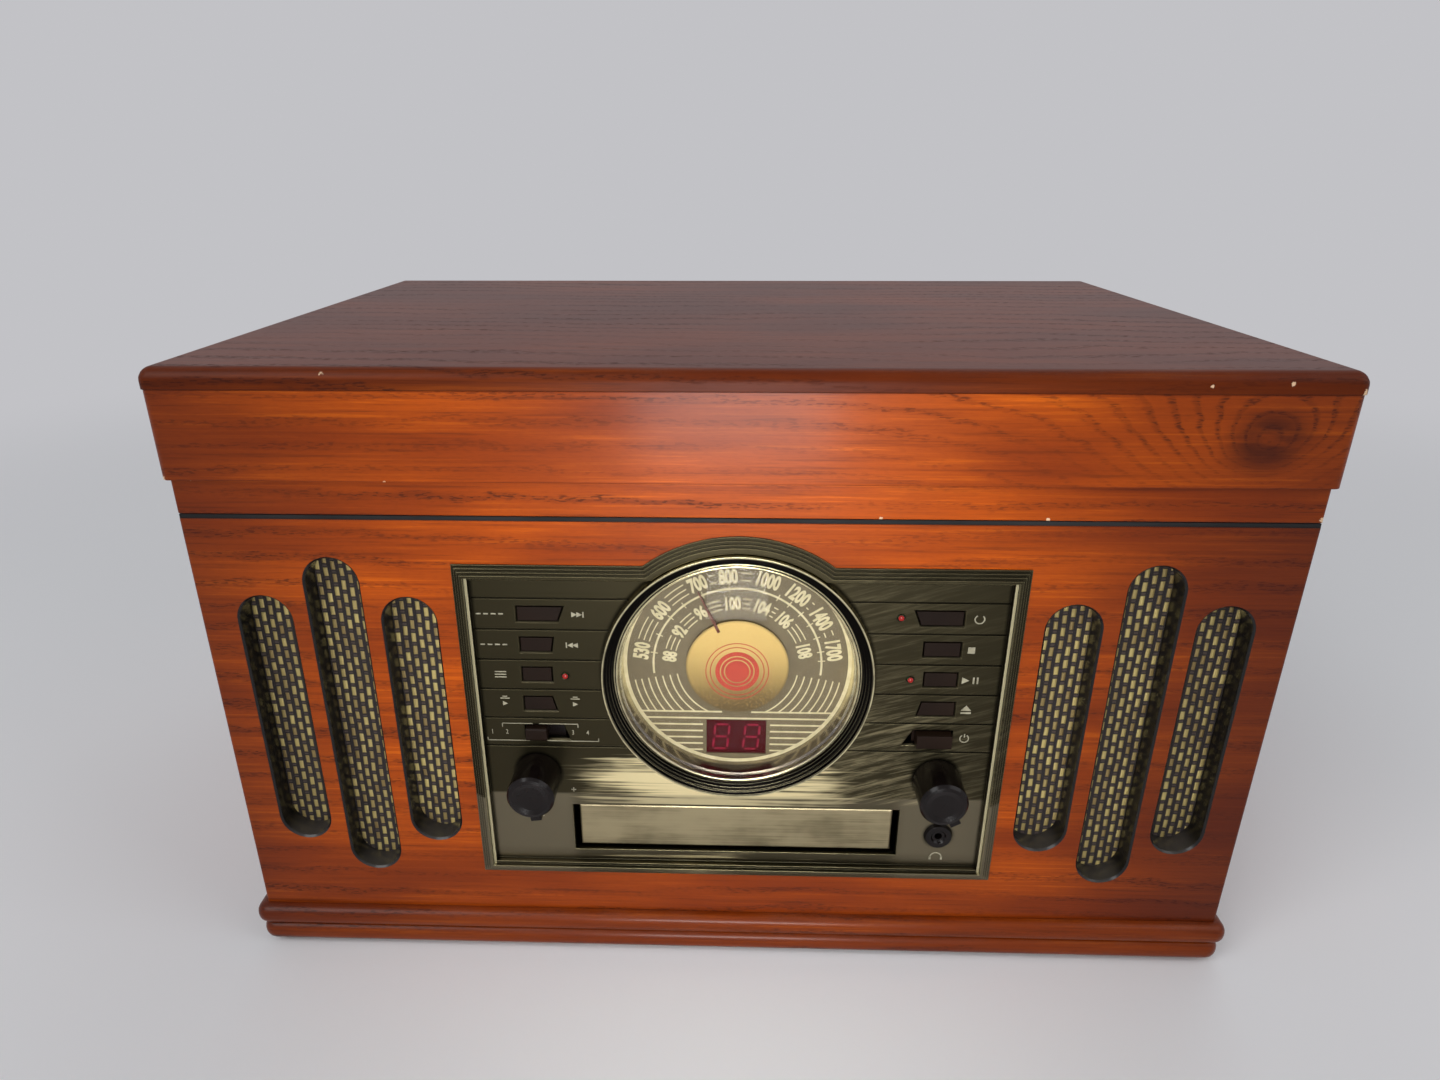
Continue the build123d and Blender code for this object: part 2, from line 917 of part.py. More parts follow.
def control_panel():
    solid = forward(panel_outline(tub_inset), panel_back, panel_back - front_y)
    for rib in range(rib_count):
        solid += forward(panel_outline(rib * rib_pitch), front_y, (rib + 1) * rib_step)
    solid -= panel_pocket()
    for groove in row_grooves():
        solid -= groove
    solid += dial_collar()
    solid -= rod_y(0, (front_y, dial_y), dial_z, bezel_neck_radius + stop_gap)
    for name in openings:
        solid -= forward(opening_face(name), panel_back, panel_sheet)
        solid -= forward(opening_face(name), panel_y + opening_bevel, opening_bevel, taper=-45)
    solid -= forward(drawer_outline(), panel_back, panel_sheet)
    sheet = (panel_y, panel_back)
    for x, drop in lamp_places.values():
        solid -= rod_y(x, sheet, cabinet_top - drop, lamp_radius + stop_gap)
    for side in (-1, 1):
        solid -= rod_y(side * knob_x, sheet, knob_z, knob_shaft_radius + stop_gap)
    return solid - rod_y(jack_x, sheet, jack_z, jack_body_radius + fit_gap)


# Dial
def dial_bezel():
    """Stepped ring with a thin lip in front, a bead round the lens and a neck through the panel."""
    lip = front_y - bezel_lip_height
    points = [
        (bezel_radius, panel_y),
        (bezel_radius, lip + bezel_lip_bevel),
        (bezel_radius - bezel_lip_edge, lip),
        (bezel_radius - bezel_lip_width, lip),
    ]
    radius = bezel_radius - bezel_lip_width
    y = lip + bezel_step_down
    for step in range(bezel_step_count):
        points += [(radius, y), (radius - bezel_step_in, y)]
        radius -= bezel_step_in
        y += bezel_step_down
    bead_y = y - bezel_step_down
    seat_radius = dial_view_radius - lens_seat_width
    lens_back = front_y + lens_seat_depth
    points += [
        (dial_view_radius, bead_y),
        (dial_view_radius, lens_back),
        (seat_radius, lens_back),
        (seat_radius, dial_y),
        (bezel_neck_radius, dial_y),
        (bezel_neck_radius, panel_y),
    ]
    bead = Torus(dial_view_radius + bezel_bead_radius, bezel_bead_radius)
    return turned_y(points, 0, dial_z) + Pos(0, bead_y, dial_z) * Rot(90, 0, 0) * bead


def lens_dome(rim_y, thickness):
    """Solid cap of a sphere in front of rim_y, grown evenly by thickness."""
    half_chord = dial_view_radius - button_gap
    sphere_radius = (half_chord ** 2 + lens_rise ** 2) / (2 * lens_rise)
    centre = rim_y + sphere_radius - lens_rise
    ball = Pos(0, centre, dial_z) * Sphere(sphere_radius + thickness)
    barrel = rod_y(0, (rim_y - lens_rise - 2 * lens_thickness, rim_y), dial_z, half_chord)
    return ball & barrel


def dial_lens():
    rim = front_y + lens_seat_depth
    return lens_dome(rim, lens_thickness) - lens_dome(rim, 0)


def display_outline(margin):
    middle = dial_z - display_top_drop - display_height / 2
    return Pos(0, middle) * Rectangle(display_width + 2 * margin, display_height + 2 * margin)


def plate_back():
    return dial_y + dial_plate_thickness


def bridge_y():
    """Front of the bridge behind the plate, which leaves room for the pointer's drum."""
    return plate_back() + pointer_drum_width + 2 * dial_disc_standoff


def dial_plate():
    plate = rod_y(0, (dial_y, plate_back()), dial_z, dial_plate_radius)
    plate -= forward(display_outline(0), plate_back(), dial_plate_thickness)
    reach = pointer_drum_radius + dial_bridge_margin
    back = bridge_y() + dial_bridge_thickness
    z = about(dial_z, dial_bridge_width / 2)
    plate += block((-reach, reach), (bridge_y(), back), z)
    leg = block((reach - dial_bridge_leg, reach), (plate_back() - fit_gap, back), z)
    plate = joined(plate, both_sides(leg))
    return plate - rod_y(0, (dial_y, plate_back()), dial_z, pointer_tube_radius + stop_gap)


def disc_back():
    return dial_y - dial_disc_standoff


def dial_disc():
    disc = rod_y(0, (disc_back() - dial_disc_thickness, disc_back()), dial_z, dial_disc_radius)
    return disc + rod_y(0, (disc_back(), bridge_y()), dial_z, post_radius)


def needle_outline():
    half = needle_width / 2
    tip = needle_tip_width / 2
    shoulder = dial_disc_radius + needle_width
    return Polygon(
        (-half, needle_inner), (half, needle_inner), (half, shoulder),
        (tip, needle_outer), (-tip, needle_outer), (-half, shoulder),
        align=None,
    )


def dial_pointer():
    """Needle in front of the disc, with a leg behind it to a tube and drum on the disc's post."""
    needle_back = disc_back() - dial_disc_thickness - needle_clearance
    needle_front = needle_back - needle_thickness
    leg_at = dial_disc_radius + needle_width
    x = about(0, needle_width / 2)
    hub = (disc_back() + needle_clearance / 2, dial_y - needle_clearance / 2)
    tube_end = bridge_y() - dial_disc_standoff
    solid = forward(needle_outline(), needle_back, needle_thickness)
    solid += block(x, (needle_front, hub[1]), about(leg_at, needle_width / 2))
    solid += block(x, hub, (0, leg_at))
    solid += rod_y(0, hub, 0, pointer_hub_radius)
    solid += rod_y(0, (hub[0], tube_end), 0, pointer_tube_radius)
    solid += rod_y(0, (tube_end - pointer_drum_width, tube_end), 0, pointer_drum_radius)
    solid -= rod_y(0, (hub[0], tube_end), 0, post_radius + fit_gap)
    return Pos(0, 0, dial_z) * Rot(0, -needle_angle, 0) * solid


def digit_display():
    window = forward(display_outline(-button_gap), plate_back(), dial_plate_thickness - button_gap)
    body = forward(display_outline(display_margin), plate_back() + display_body_depth, display_body_depth)
    return window + body


# Buttons
button_projection = {"power_button": power_projection}
button_travel = {"power_button": power_travel, "band_button": latch_travel}


def power_cap_outline():
    """The power cap is squarer than its slanted opening."""
    top = row_top(row_count - 1) - opening_offset
    right = openings["power_button"][3]
    low = top - opening_height
    corners = [(right, top), (power_cap_inner, top), (power_cap_inner, low), (right, low)]
    return Polygon(*corners, align=None)


def cap_outline(name):
    return power_cap_outline() if name == "power_button" else opening_face(name)


def flange_span():
    front = panel_back + stop_gap
    return front, front + button_flange_thickness


def button(name, projection, travel):
    """Cap in its opening, a wider flange behind the panel and a stem that reaches its switch."""
    face = panel_y + button_recess - projection
    front, back = flange_span()
    outline = cap_outline(name)
    centre = outline.center()
    stem_end = board_front - switch_height - travel - stop_gap
    cap = forward(grown(outline, -button_gap), back, back - face)
    flange = forward(grown(outline, button_flange - button_gap), back, button_flange_thickness)
    stem = rod_y(centre.X, (back - fit_gap, stem_end), centre.Y, button_stem_radius)
    return cap + flange + stem


def slider_span():
    row, inner_top, inner_low, outer, side = openings["function_slider"]
    left = side * outer + button_gap
    return left, left + slider_width


def function_slider():
    x = slider_span()
    top = row_top(row_count - 1) - opening_offset - button_gap
    low = top - opening_height + 2 * button_gap
    front, back = flange_span()
    cap = block(x, (panel_y - slider_projection, back), (low, top))
    cap = fillet(cap.edges().filter_by(Axis.X).group_by(Axis.Y)[0], slider_round)
    flange = block(x, (front, back), (low - button_flange, top + button_flange))
    stem_end = board_front - switch_height - stop_gap
    stem = rod_y(sum(x) / 2, (back - fit_gap, stem_end), (top + low) / 2, button_stem_radius)
    return cap + flange + stem


# Knobs
def knob(side, rib_angle):
    base = panel_y - knob_base_gap
    end = panel_y - knob_length
    shaft_end = board_front - knob_shaft_end_gap
    profile = [
        (0, end + knob_dish_depth),
        (knob_radius - knob_dish_width, end + knob_dish_slope),
        (knob_radius - knob_crest_width, end),
        (knob_radius - knob_edge_width, end + knob_crest_drop),
        (knob_radius, end + knob_edge_round),
        (knob_radius, base),
        (0, base),
    ]
    solid = turned_y(profile, 0, 0)
    solid += block(
        about(0, knob_rib_width / 2),
        (end + knob_edge_round, base),
        (0, knob_radius + knob_rib_height),
    )
    solid += rod_y(0, (base - fit_gap, shaft_end), 0, knob_shaft_radius)
    return Pos(side * knob_x, 0, knob_z) * Rot(0, rib_angle, 0) * solid


def volume_knob():
    return knob(-1, volume_rib_angle)


def tuning_knob():
    return knob(1, tuning_rib_angle)


def headphone_jack():
    front = panel_y - jack_ring_height
    mouth = front + jack_mouth_depth
    end = mouth + jack_bore_length
    profile = [
        (jack_ring_radius, panel_y),
        (jack_ring_radius - jack_ring_bevel, front),
        (jack_bore_radius + jack_mouth_width + jack_land_width, front),
        (jack_bore_radius + jack_mouth_width, mouth),
        (jack_bore_radius, mouth),
        (jack_bore_radius, end),
        (jack_body_radius, end),
        (jack_body_radius, panel_y),
    ]
    case = block(
        about(jack_x, jack_case_half),
        (end - fit_gap, end + jack_case_depth),
        about(jack_z, jack_case_half),
    )
    return turned_y(profile, jack_x, jack_z) + case


# Control board
def board_spacers():
    """Spacers between the panel and the board, a little into the board."""
    posts = []
    x = board_half_width - spacer_inset
    for drop in (board_top_drop + 2 * spacer_inset, board_bottom_drop - 2 * spacer_inset):
        posts += both_sides(rod_y(x, (panel_back, board_front + fit_gap), cabinet_top - drop, spacer_radius))
    return posts


def switch(name):
    """Push switch behind a button, twice as wide behind the slider."""
    centre = cap_outline(name).center()
    x = centre.X
    half = switch_size / 2
    if name == "function_slider":
        x = sum(slider_span()) / 2 + half
        half = switch_size
    depth = (board_front - switch_height, board_front + fit_gap)
    return block(about(x, half), depth, about(centre.Y, switch_size / 2))


def lamps():
    depth = (panel_y - stop_gap, board_front + fit_gap)
    return [rod_y(x, depth, cabinet_top - drop, lamp_radius) for x, drop in lamp_places.values()]


def control_board():
    """Board round the dial, with switches, lamps, the volume control and the tuning capacitor."""
    top = cabinet_top - board_top_drop
    low = cabinet_top - board_bottom_drop
    depth = (board_front, board_front + board_thickness)
    board = block(about(0, board_half_width), depth, (low, top))
    board -= rod_y(0, depth, dial_z, dial_plate_radius + board_dial_gap)
    board = joined(board, [switch(name) for name in openings] + lamps() + board_spacers())
    depth = (board_front - pot_depth, board_front + fit_gap)
    board += rod_y(-knob_x, depth, knob_z, pot_radius)
    board += block(about(knob_x, capacitor_half), depth, about(knob_z, capacitor_half))
    for side in (-1, 1):
        board -= rod_y(side * knob_x, (depth[0], board_front), knob_z, knob_shaft_radius + fit_gap)
    return board


# Disc drawer
def door_back():
    return panel_y + door_setback + door_thickness


def cd_door():
    door = forward(drawer_outline(door_side_gap, door_edge_gap), door_back(), door_thickness)
    return fillet(door.faces().sort_by(Axis.Y)[0].edges(), door_round)


def tray_span():
    """Underside and top of the tray."""
    low = cabinet_top - drawer_bottom_drop + tray_lift
    return low, low + tray_thickness


def disc_centre_y():
    return door_back() + tray_length / 2


def cd_tray():
    low, top = tray_span()
    end = door_back() + tray_length
    centre = disc_centre_y()
    tray = block(about(0, tray_half_width), (door_back(), end), (low, top))
    tray -= rod_z(0, centre, (top - disc_pocket_depth, top), disc_radius + disc_clearance)
    tray -= rod_z(0, centre, (low, top), tray_slot_half)
    return tray - block(about(0, tray_slot_half), (centre, end), (low, top))


def chassis_feet(outer, depth, floor):
    feet = []
    for y in (depth[0] + chassis_foot_inset, depth[1] - chassis_foot_inset):
        foot = rod_z(outer - chassis_foot_inset, y, (floor_z, floor + fit_gap), chassis_foot_radius)
        feet += both_sides(foot)
    return feet


def cd_chassis():
    """Tub with two rails under the tray, a pickup housing and a clamp bridge over the back."""
    low, top = tray_span()
    inner = tray_half_width + stop_gap
    outer = inner + chassis_wall
    depth = (front_y + chassis_start, front_y + chassis_depth)
    floor = low - chassis_drop
    roof = top + clamp_rise + clamp_thickness
    rail_top = low - stop_gap
    solid = block(about(0, outer), depth, (floor, floor + chassis_floor))
    solid = joined(solid, both_sides(block((inner, outer), depth, (floor, roof))))
    rail = block((inner - rail_width, inner + fit_gap), depth, (rail_top - rail_thickness, rail_top))
    solid = joined(solid, both_sides(rail))
    solid += block(about(0, outer), (depth[1] - clamp_length, depth[1]), (roof - clamp_thickness, roof))
    solid += block(
        about(0, pickup_half_width),
        about(disc_centre_y(), pickup_half_length),
        (floor + chassis_floor - fit_gap, rail_top - pickup_gap),
    )
    return joined(solid, chassis_feet(outer, depth, floor))


# Turntable deck
def pulley_place():
    angle = math.radians(pulley_angle)
    return spindle_x + pulley_distance * math.cos(angle), spindle_y + pulley_distance * math.sin(angle)


def cue_post_place():
    """Where the lifting bar's post goes down into the deck."""
    angle = math.radians(cue_bar_middle)
    return arm_x - cue_bar_radius * math.sin(angle), arm_y - cue_bar_radius * math.cos(angle)


def bearing_bottom():
    """Lower end of the hole in the platter's bearing."""
    return deck_bottom - bearing_depth + bearing_floor


def deck_plate():
    """Plate with a raised rim and a shallow well under the platter."""
    edge = side_inner - deck_edge_gap
    far = rear_inner - deck_edge_gap
    rim = (deck_top, deck_top + deck_rim_height)
    inner = edge - deck_rim_width
    plate = block(about(0, edge), (deck_front, far), (deck_bottom, rim[1]))
    plate -= block(about(0, inner), (deck_front + deck_rim_width, far - deck_rim_width), rim)
    well = (deck_top - deck_well_depth, deck_top)
    return plate - rod_z(spindle_x, spindle_y, well, platter_radius + deck_well_margin)


def turntable_deck():
    deck = deck_plate()
    bearing_top = deck_top + bearing_rise
    bearing_span = (deck_bottom - bearing_depth, bearing_top)
    deck += rod_z(spindle_x, spindle_y, bearing_span, bearing_radius)
    deck -= rod_z(spindle_x, spindle_y, (bearing_bottom(), bearing_top), spindle_radius + fit_gap)
    pulley_x, pulley_y = pulley_place()
    deck -= rod_z(pulley_x, pulley_y, (deck_bottom, deck_top), pulley_radius + pulley_hole_gap)
    post_x, post_y = cue_post_place()
    socket = (deck_bottom - cue_socket_drop, deck_top + cue_socket_rise)
    deck += rod_z(post_x, post_y, socket, cue_post_radius + cue_socket_wall)
    deck -= rod_z(post_x, post_y, socket, cue_post_radius + fit_gap)
    deck += arm_rest()
    speed_x, speed_y = speed_lever_place()
    return deck - rod_z(speed_x, speed_y, (deck_bottom, deck_top), speed_pin_radius + fit_gap)


def arm_rest():
    """Post with a cradle that is open towards the platter."""
    y = about(arm_y - rest_distance, rest_width / 2)
    floor = arm_z - arm_tube_radius - stop_gap
    foot = block((arm_x - rest_inner, arm_x + rest_outer), y, (deck_top, floor))
    wall = (arm_x + arm_tube_radius + stop_gap, arm_x + rest_outer)
    return foot + block(wall, y, (floor - fit_gap, arm_z + rest_stop_rise))


def speed_lever_place():
    return speed_lever_x, front_y + speed_lever_from_front


# Platter and drive
def ring_bottom():
    """Lower edge of the drive ring under the platter."""
    return platter_top - platter_thickness - drive_ring_height


def platter_plate():
    under = platter_top - platter_thickness
    low = under - platter_skirt_height
    inner = platter_radius - platter_skirt_thickness
    ring_inner = drive_ring_radius - drive_ring_thickness
    profile = [
        (0, under),
        (ring_inner, under),
        (ring_inner, ring_bottom()),
        (drive_ring_radius, ring_bottom()),
        (drive_ring_radius, under),
        (inner, under),
        (inner, low),
        (platter_radius - platter_skirt_bevel, low),
        (platter_radius, low + platter_skirt_bevel),
        (platter_radius, platter_top - platter_edge_round),
        (platter_radius - platter_edge_round, platter_top),
        (0, platter_top),
    ]
    return turned_z(profile, spindle_x, spindle_y)


def spindle():
    low = bearing_bottom() + stop_gap
    tip = mat_top + spindle_rise
    profile = [
        (0, low),
        (spindle_radius, low),
        (spindle_radius, tip - spindle_taper),
        (spindle_radius - spindle_shoulder, tip - spindle_tip_height),
        (spindle_tip_radius, tip),
        (0, tip),
    ]
    return turned_z(profile, spindle_x, spindle_y)


def platter():
    hub = (deck_top + bearing_rise + stop_gap, platter_top - platter_thickness + fit_gap)
    return platter_plate() + rod_z(spindle_x, spindle_y, hub, bearing_radius) + spindle()


def platter_mat():
    """Mat with ring grooves between the label and the rim."""
    bore = spindle_radius + stop_gap
    profile = [(bore, platter_top), (mat_radius, platter_top), (mat_radius, mat_top)]
    half = mat_groove_width / 2
    radius = mat_radius - mat_groove_margin
    while radius > mat_label_radius:
        floor = (radius - half, mat_top - mat_groove_depth)
        profile += [(radius, mat_top), floor, (radius - mat_groove_width, mat_top)]
        radius -= mat_groove_pitch
    profile.append((bore, mat_top))
    return turned_z(profile, spindle_x, spindle_y)


def belt_outline(extra):
    """Belt path round the drive ring and the pulley, grown by extra."""
    big = drive_ring_radius + belt_gap + extra
    small = pulley_radius + belt_gap + extra
    tilt = math.acos((big - small) / pulley_distance)
    first = (big * math.cos(tilt), big * math.sin(tilt))
    second = (pulley_distance + small * math.cos(tilt), small * math.sin(tilt))
    edges = [
        Line(first, second),
        ThreePointArc(second, (pulley_distance + small, 0), (second[0], -second[1])),
        Line((second[0], -second[1]), (first[0], -first[1])),
        ThreePointArc((first[0], -first[1]), (-big, 0), first),
    ]
    return make_face(edges)


def drive_belt():
    loop = extrude(belt_outline(belt_thickness) - belt_outline(0), belt_width)
    return Pos(spindle_x, spindle_y, ring_bottom() + belt_rise) * Rot(0, 0, pulley_angle) * loop


def motor_pulley():
    """Crowned pulley between two flanges, on the motor's shaft."""
    x, y = pulley_place()
    low = ring_bottom()
    top = low + belt_width + pulley_spare_width
    rim = pulley_radius + pulley_flange
    profile = [
        (0, low - pulley_flange_thickness),
        (rim, low - pulley_flange_thickness),
        (rim, low),
        (pulley_radius, low + pulley_crown),
        (pulley_radius, top - pulley_crown),
        (rim, top),
        (rim, top + pulley_flange_thickness),
        (0, top + pulley_flange_thickness),
    ]
    return turned_z(profile, x, y) + rod_z(x, y, (deck_bottom - motor_shaft_depth, low), motor_shaft_radius)


def platter_motor():
    x, y = pulley_place()
    low = deck_bottom - motor_height
    profile = [
        (0, low),
        (motor_radius - motor_round, low),
        (motor_radius, low + motor_round),
        (motor_radius, deck_bottom),
        (0, deck_bottom),
    ]
    shaft = (deck_bottom - motor_shaft_depth - motor_shaft_end_gap, deck_bottom)
    return turned_z(profile, x, y) - rod_z(x, y, shaft, motor_shaft_radius + fit_gap)


# Tonearm, drawn pointing along -Y over its rest
def cue_ear_spans():
    start = arm_x + arm_base_radius - cue_ear_inset
    end = start + cue_ear_thickness
    return (start, end), (end + cue_ear_gap, end + cue_ear_gap + cue_ear_thickness)


def cue_lever_z():
    return deck_top + cue_lever_rise


def tonearm_base():
    """Stepped round base with a bore for the turret, and two ears that carry the cue lever."""
    top = deck_top + arm_base_height
    profile = [
        (0, deck_top),
        (arm_base_radius, deck_top),
        (arm_base_radius, deck_top + arm_base_rim),
        (yoke_radius + arm_base_shoulder, top - arm_base_rim),
        (yoke_radius + arm_base_top_margin, top),
        (0, top),
    ]
    solid = turned_z(profile, arm_x, arm_y)
    solid -= rod_z(arm_x, arm_y, (deck_top + turret_floor, top), turret_stem_radius + fit_gap)
    left, right = cue_ear_spans()
    y = about(arm_y, cue_ear_depth / 2)
    solid += block((left[0], right[1]), y, (deck_top, deck_top + cue_ear_foot))
    for x in (left, right):
        solid += block(x, y, (deck_top, cue_lever_z() + cue_ear_rise))
        solid -= rod_x(x, arm_y, cue_lever_z(), trunnion_radius + fit_gap)
    return solid


def cue_lever():
    """Lever between the ears, with a finger pad at its front end."""
    left, right = cue_ear_spans()
    x = (left[1] + stop_gap, right[0] - stop_gap)
    z = cue_lever_z()
    tip_y = arm_y - cue_lever_length
    tip_z = z + cue_lever_lift
    lever = bar_between(x, (arm_y, z), (tip_y, tip_z), cue_lever_width)
    lever += rod_x((left[0], right[1]), arm_y, z, trunnion_radius)
    pad_low = tip_z - cue_lever_width / 2
    return lever + block(
        (x[0] - cue_pad_overhang, x[1] + cue_pad_overhang),
        (tip_y - cue_pad_front, tip_y + cue_pad_back),
        (pad_low, pad_low + cue_pad_height),
    )


def cue_platform():
    """Curved bar under the arm, on a post that slides in the deck."""
    top = arm_z - arm_tube_radius - stop_gap
    half = cue_bar_section / 2
    section = Pos(cue_bar_radius, top - half) * Rectangle(cue_bar_section, cue_bar_section)
    bar = revolve(Plane.XZ * section, Axis.Z, revolution_arc=cue_bar_sweep)
    start = -90 - cue_bar_middle - cue_bar_sweep / 2
    bar = Pos(arm_x, arm_y, 0) * Rot(0, 0, start) * bar
    post_x, post_y = cue_post_place()
    return bar + rod_z(post_x, post_y, (deck_bottom - cue_post_depth, top - half), cue_post_radius)


def tonearm_yoke():
    """Turret with a stem in the base and a fork for the arm's pins."""
    low = deck_top + arm_base_height + yoke_gap
    stem = (deck_top + turret_floor + stop_gap, low + fit_gap)
    solid = rod_z(arm_x, arm_y, (low, low + yoke_plate), yoke_radius)
    solid += rod_z(arm_x, arm_y, stem, turret_stem_radius)
    y = about(arm_y, yoke_fork_depth / 2)
    z = (low + yoke_plate / 2, arm_z + yoke_fork_rise)
    outer = yoke_fork_half_gap + yoke_fork_width
    for x in ((arm_x - outer, arm_x - yoke_fork_half_gap), (arm_x + yoke_fork_half_gap, arm_x + outer)):
        solid += block(x, y, z)
        solid -= rod_x(x, arm_y, arm_z, trunnion_radius + fit_gap)
    return solid


def shell_place(z):
    """Turned place of the head shell and what hangs under it."""
    return Pos(arm_x, arm_y - arm_length, z) * Rot(0, 0, -shell_turn)


def head_shell():
    plate = fillet(Rectangle(shell_width, shell_length).vertices(), shell_corner)
    plate = extrude(plate, shell_thickness)
    end = finger_from_end - shell_length / 2
    finger = block(
        (shell_width / 2 - finger_width / 2, shell_width / 2 + finger_length),
        (end, end + finger_width),
        (shell_thickness - finger_thickness, shell_thickness),
    )
    return shell_place(arm_z - shell_thickness) * (plate + finger)


def tonearm():
    weight_span = (arm_y + counterweight_start, arm_y + counterweight_end)
    tube_span = (arm_y - arm_length + arm_tube_end, weight_span[0] + counterweight_overlap)
    pin_reach = yoke_fork_half_gap + yoke_fork_width
    solid = rod_y(arm_x, tube_span, arm_z, arm_tube_radius)
    solid += rod_y(arm_x, weight_span, arm_z, counterweight_radius)
    solid += rod_x(about(arm_x, pin_reach), arm_y, arm_z, trunnion_radius)
    return solid + head_shell()


def stylus_holder(low):
    """Side view of the holder in (y, z), with the stylus at its front end."""
    tip = low - stylus_drop
    front = -holder_half_length
    outline = Polygon(
        (front, low), (holder_half_length, low), (holder_half_length - holder_step, low - holder_step),
        (front + stylus_length, tip), (front, tip),
        align=None,
    )
    upright = Plane(origin=(-holder_width / 2, 0, 0), x_dir=(0, 1, 0), z_dir=(1, 0, 0))
    return extrude(upright * outline, holder_width)


def cartridge():
    case = block(about(0, cartridge_width / 2), about(0, cartridge_length / 2), (-cartridge_height, 0))
    nose = case.edges().filter_by(Axis.X).group_by(Axis.Z)[0].group_by(Axis.Y)[0]
    case = chamfer(nose, cartridge_nose)
    return shell_place(arm_z - shell_thickness) * (case + stylus_holder(-cartridge_height))


def speed_lever():
    low = deck_top + stop_gap
    top = low + speed_lever_thickness
    middle = -speed_lever_reach / 2
    lever = upward(Pos(middle, 0) * SlotCenterToCenter(speed_lever_reach, speed_lever_width), low, top - low)
    lever += rod_z(0, 0, (deck_bottom - speed_pin_depth, low + fit_gap), speed_pin_radius)
    lever += rod_z(-speed_lever_reach, 0, (top - fit_gap, top + speed_grip_height), speed_grip_radius)
    return Pos(*speed_lever_place(), 0) * lever


# Cassette slot
def cassette_spans():
    y_start = front_y + cassette_from_front + stop_gap
    y_end = y_start + cassette_length - 2 * stop_gap
    low = cassette_bottom + stop_gap
    top = cassette_bottom + cassette_height - stop_gap
    return (y_start, y_end), (low, top)


def tape_slot():
    y, z = cassette_spans()
    top = z[1] - tape_slot_drop
    return about(sum(y) / 2, tape_slot_length / 2), (top - tape_slot_height, top)


def plate_face():
    return half_width + cassette_plate


def key_spans():
    slot_y, slot_z = tape_slot()
    low = cassette_bottom + key_rise
    return (slot_y[1] - key_length, slot_y[1]), (low, low + key_height)


def flap_axis():
    """The flap's hinge line, as (x, z)."""
    slot_y, slot_z = tape_slot()
    return half_width - flap_setback, slot_z[1] - flap_thickness


def cassette_deck():
    """Body inside the wall, plate outside it, with the slot and the room of the eject key."""
    y, z = cassette_spans()
    margin = cassette_plate_margin
    body = block((half_width - cassette_depth, half_width + fit_gap), y, z)
    plate = block(
        (half_width, plate_face()),
        (y[0] - margin, y[1] + margin),
        (z[0] - margin, z[1] + margin),
    )
    solid = body + fillet(plate.edges().filter_by(Axis.X), cassette_plate_round)
    slot_y, slot_z = tape_slot()
    solid -= block((half_width - tape_slot_depth, plate_face()), slot_y, slot_z)
    key_y, key_z = key_spans()
    solid -= block(
        (half_width - key_room_depth, plate_face()),
        (key_y[0] - button_gap, key_y[1] + button_gap),
        (key_z[0] - button_gap, key_z[1] + button_gap),
    )
    x, z_axis = flap_axis()
    pin_reach = flap_pin_length + button_gap
    pin_span = (slot_y[0] - pin_reach, slot_y[1] + pin_reach)
    return solid - rod_y(x, pin_span, z_axis, flap_pin_radius + fit_gap)


def cassette_flap():
    slot_y, slot_z = tape_slot()
    x, z_axis = flap_axis()
    y = (slot_y[0] + stop_gap, slot_y[1] - stop_gap)
    plate = block(about(x, flap_thickness / 2), y, (slot_z[0] + stop_gap, z_axis))
    pin_span = (slot_y[0] - flap_pin_length, slot_y[1] + flap_pin_length)
    return plate + rod_y(x, pin_span, z_axis, flap_pin_radius)


def cassette_eject_key():
    y, z = key_spans()
    x = (half_width - key_room_depth + key_travel + stop_gap, plate_face() + key_projection)
    key = block(x, y, z)
    return fillet(key.edges().filter_by(Axis.Y).group_by(Axis.X)[-1], key_round)


# Back and inside
def line_out_jacks():
    half = line_jack_pitch
    plate = block(
        about(line_jack_x, half + line_plate_margin),
        (back_y, back_y + line_plate_thickness),
        about(line_jack_z, half / 2 + line_plate_margin),
    )
    plate = fillet(plate.edges().filter_by(Axis.Y), line_plate_round)
    solid = plate + block(
        about(line_jack_x, half - line_tail_gap),
        (rear_inner - line_tail_depth, back_y + fit_gap),
        about(line_jack_z, half / 2 - line_tail_gap),
    )
    depth = (back_y, back_y + rear_reach)
    for x in (line_jack_x - half / 2, line_jack_x + half / 2):
        solid += rod_y(x, depth, line_jack_z, line_jack_radius)
        solid -= rod_y(x, depth, line_jack_z, line_jack_bore)
    return solid


def cord_gland():
    profile = [
        (gland_bore, rear_inner - gland_tail),
        (gland_radius, rear_inner - gland_tail),
        (gland_radius, back_y),
        (gland_flange_radius, back_y),
        (gland_flange_radius, back_y + gland_flange_thickness),
        (gland_nose_radius, back_y + gland_length),
        (gland_bore, back_y + gland_length),
    ]
    return turned_y(profile, gland_x, line_jack_z)


def transformer(x, y, z):
    """Core with its windings before and behind, standing on the board at z."""
    top = z + transformer_height
    winding_half = transformer_length / 2 - winding_end_gap
    core_half = transformer_width / 2 - winding_overhang
    core = block(about(x, transformer_length / 2), about(y, core_half), (z, top))
    return core + block(about(x, winding_half), about(y, transformer_width / 2), (z, top - winding_drop))


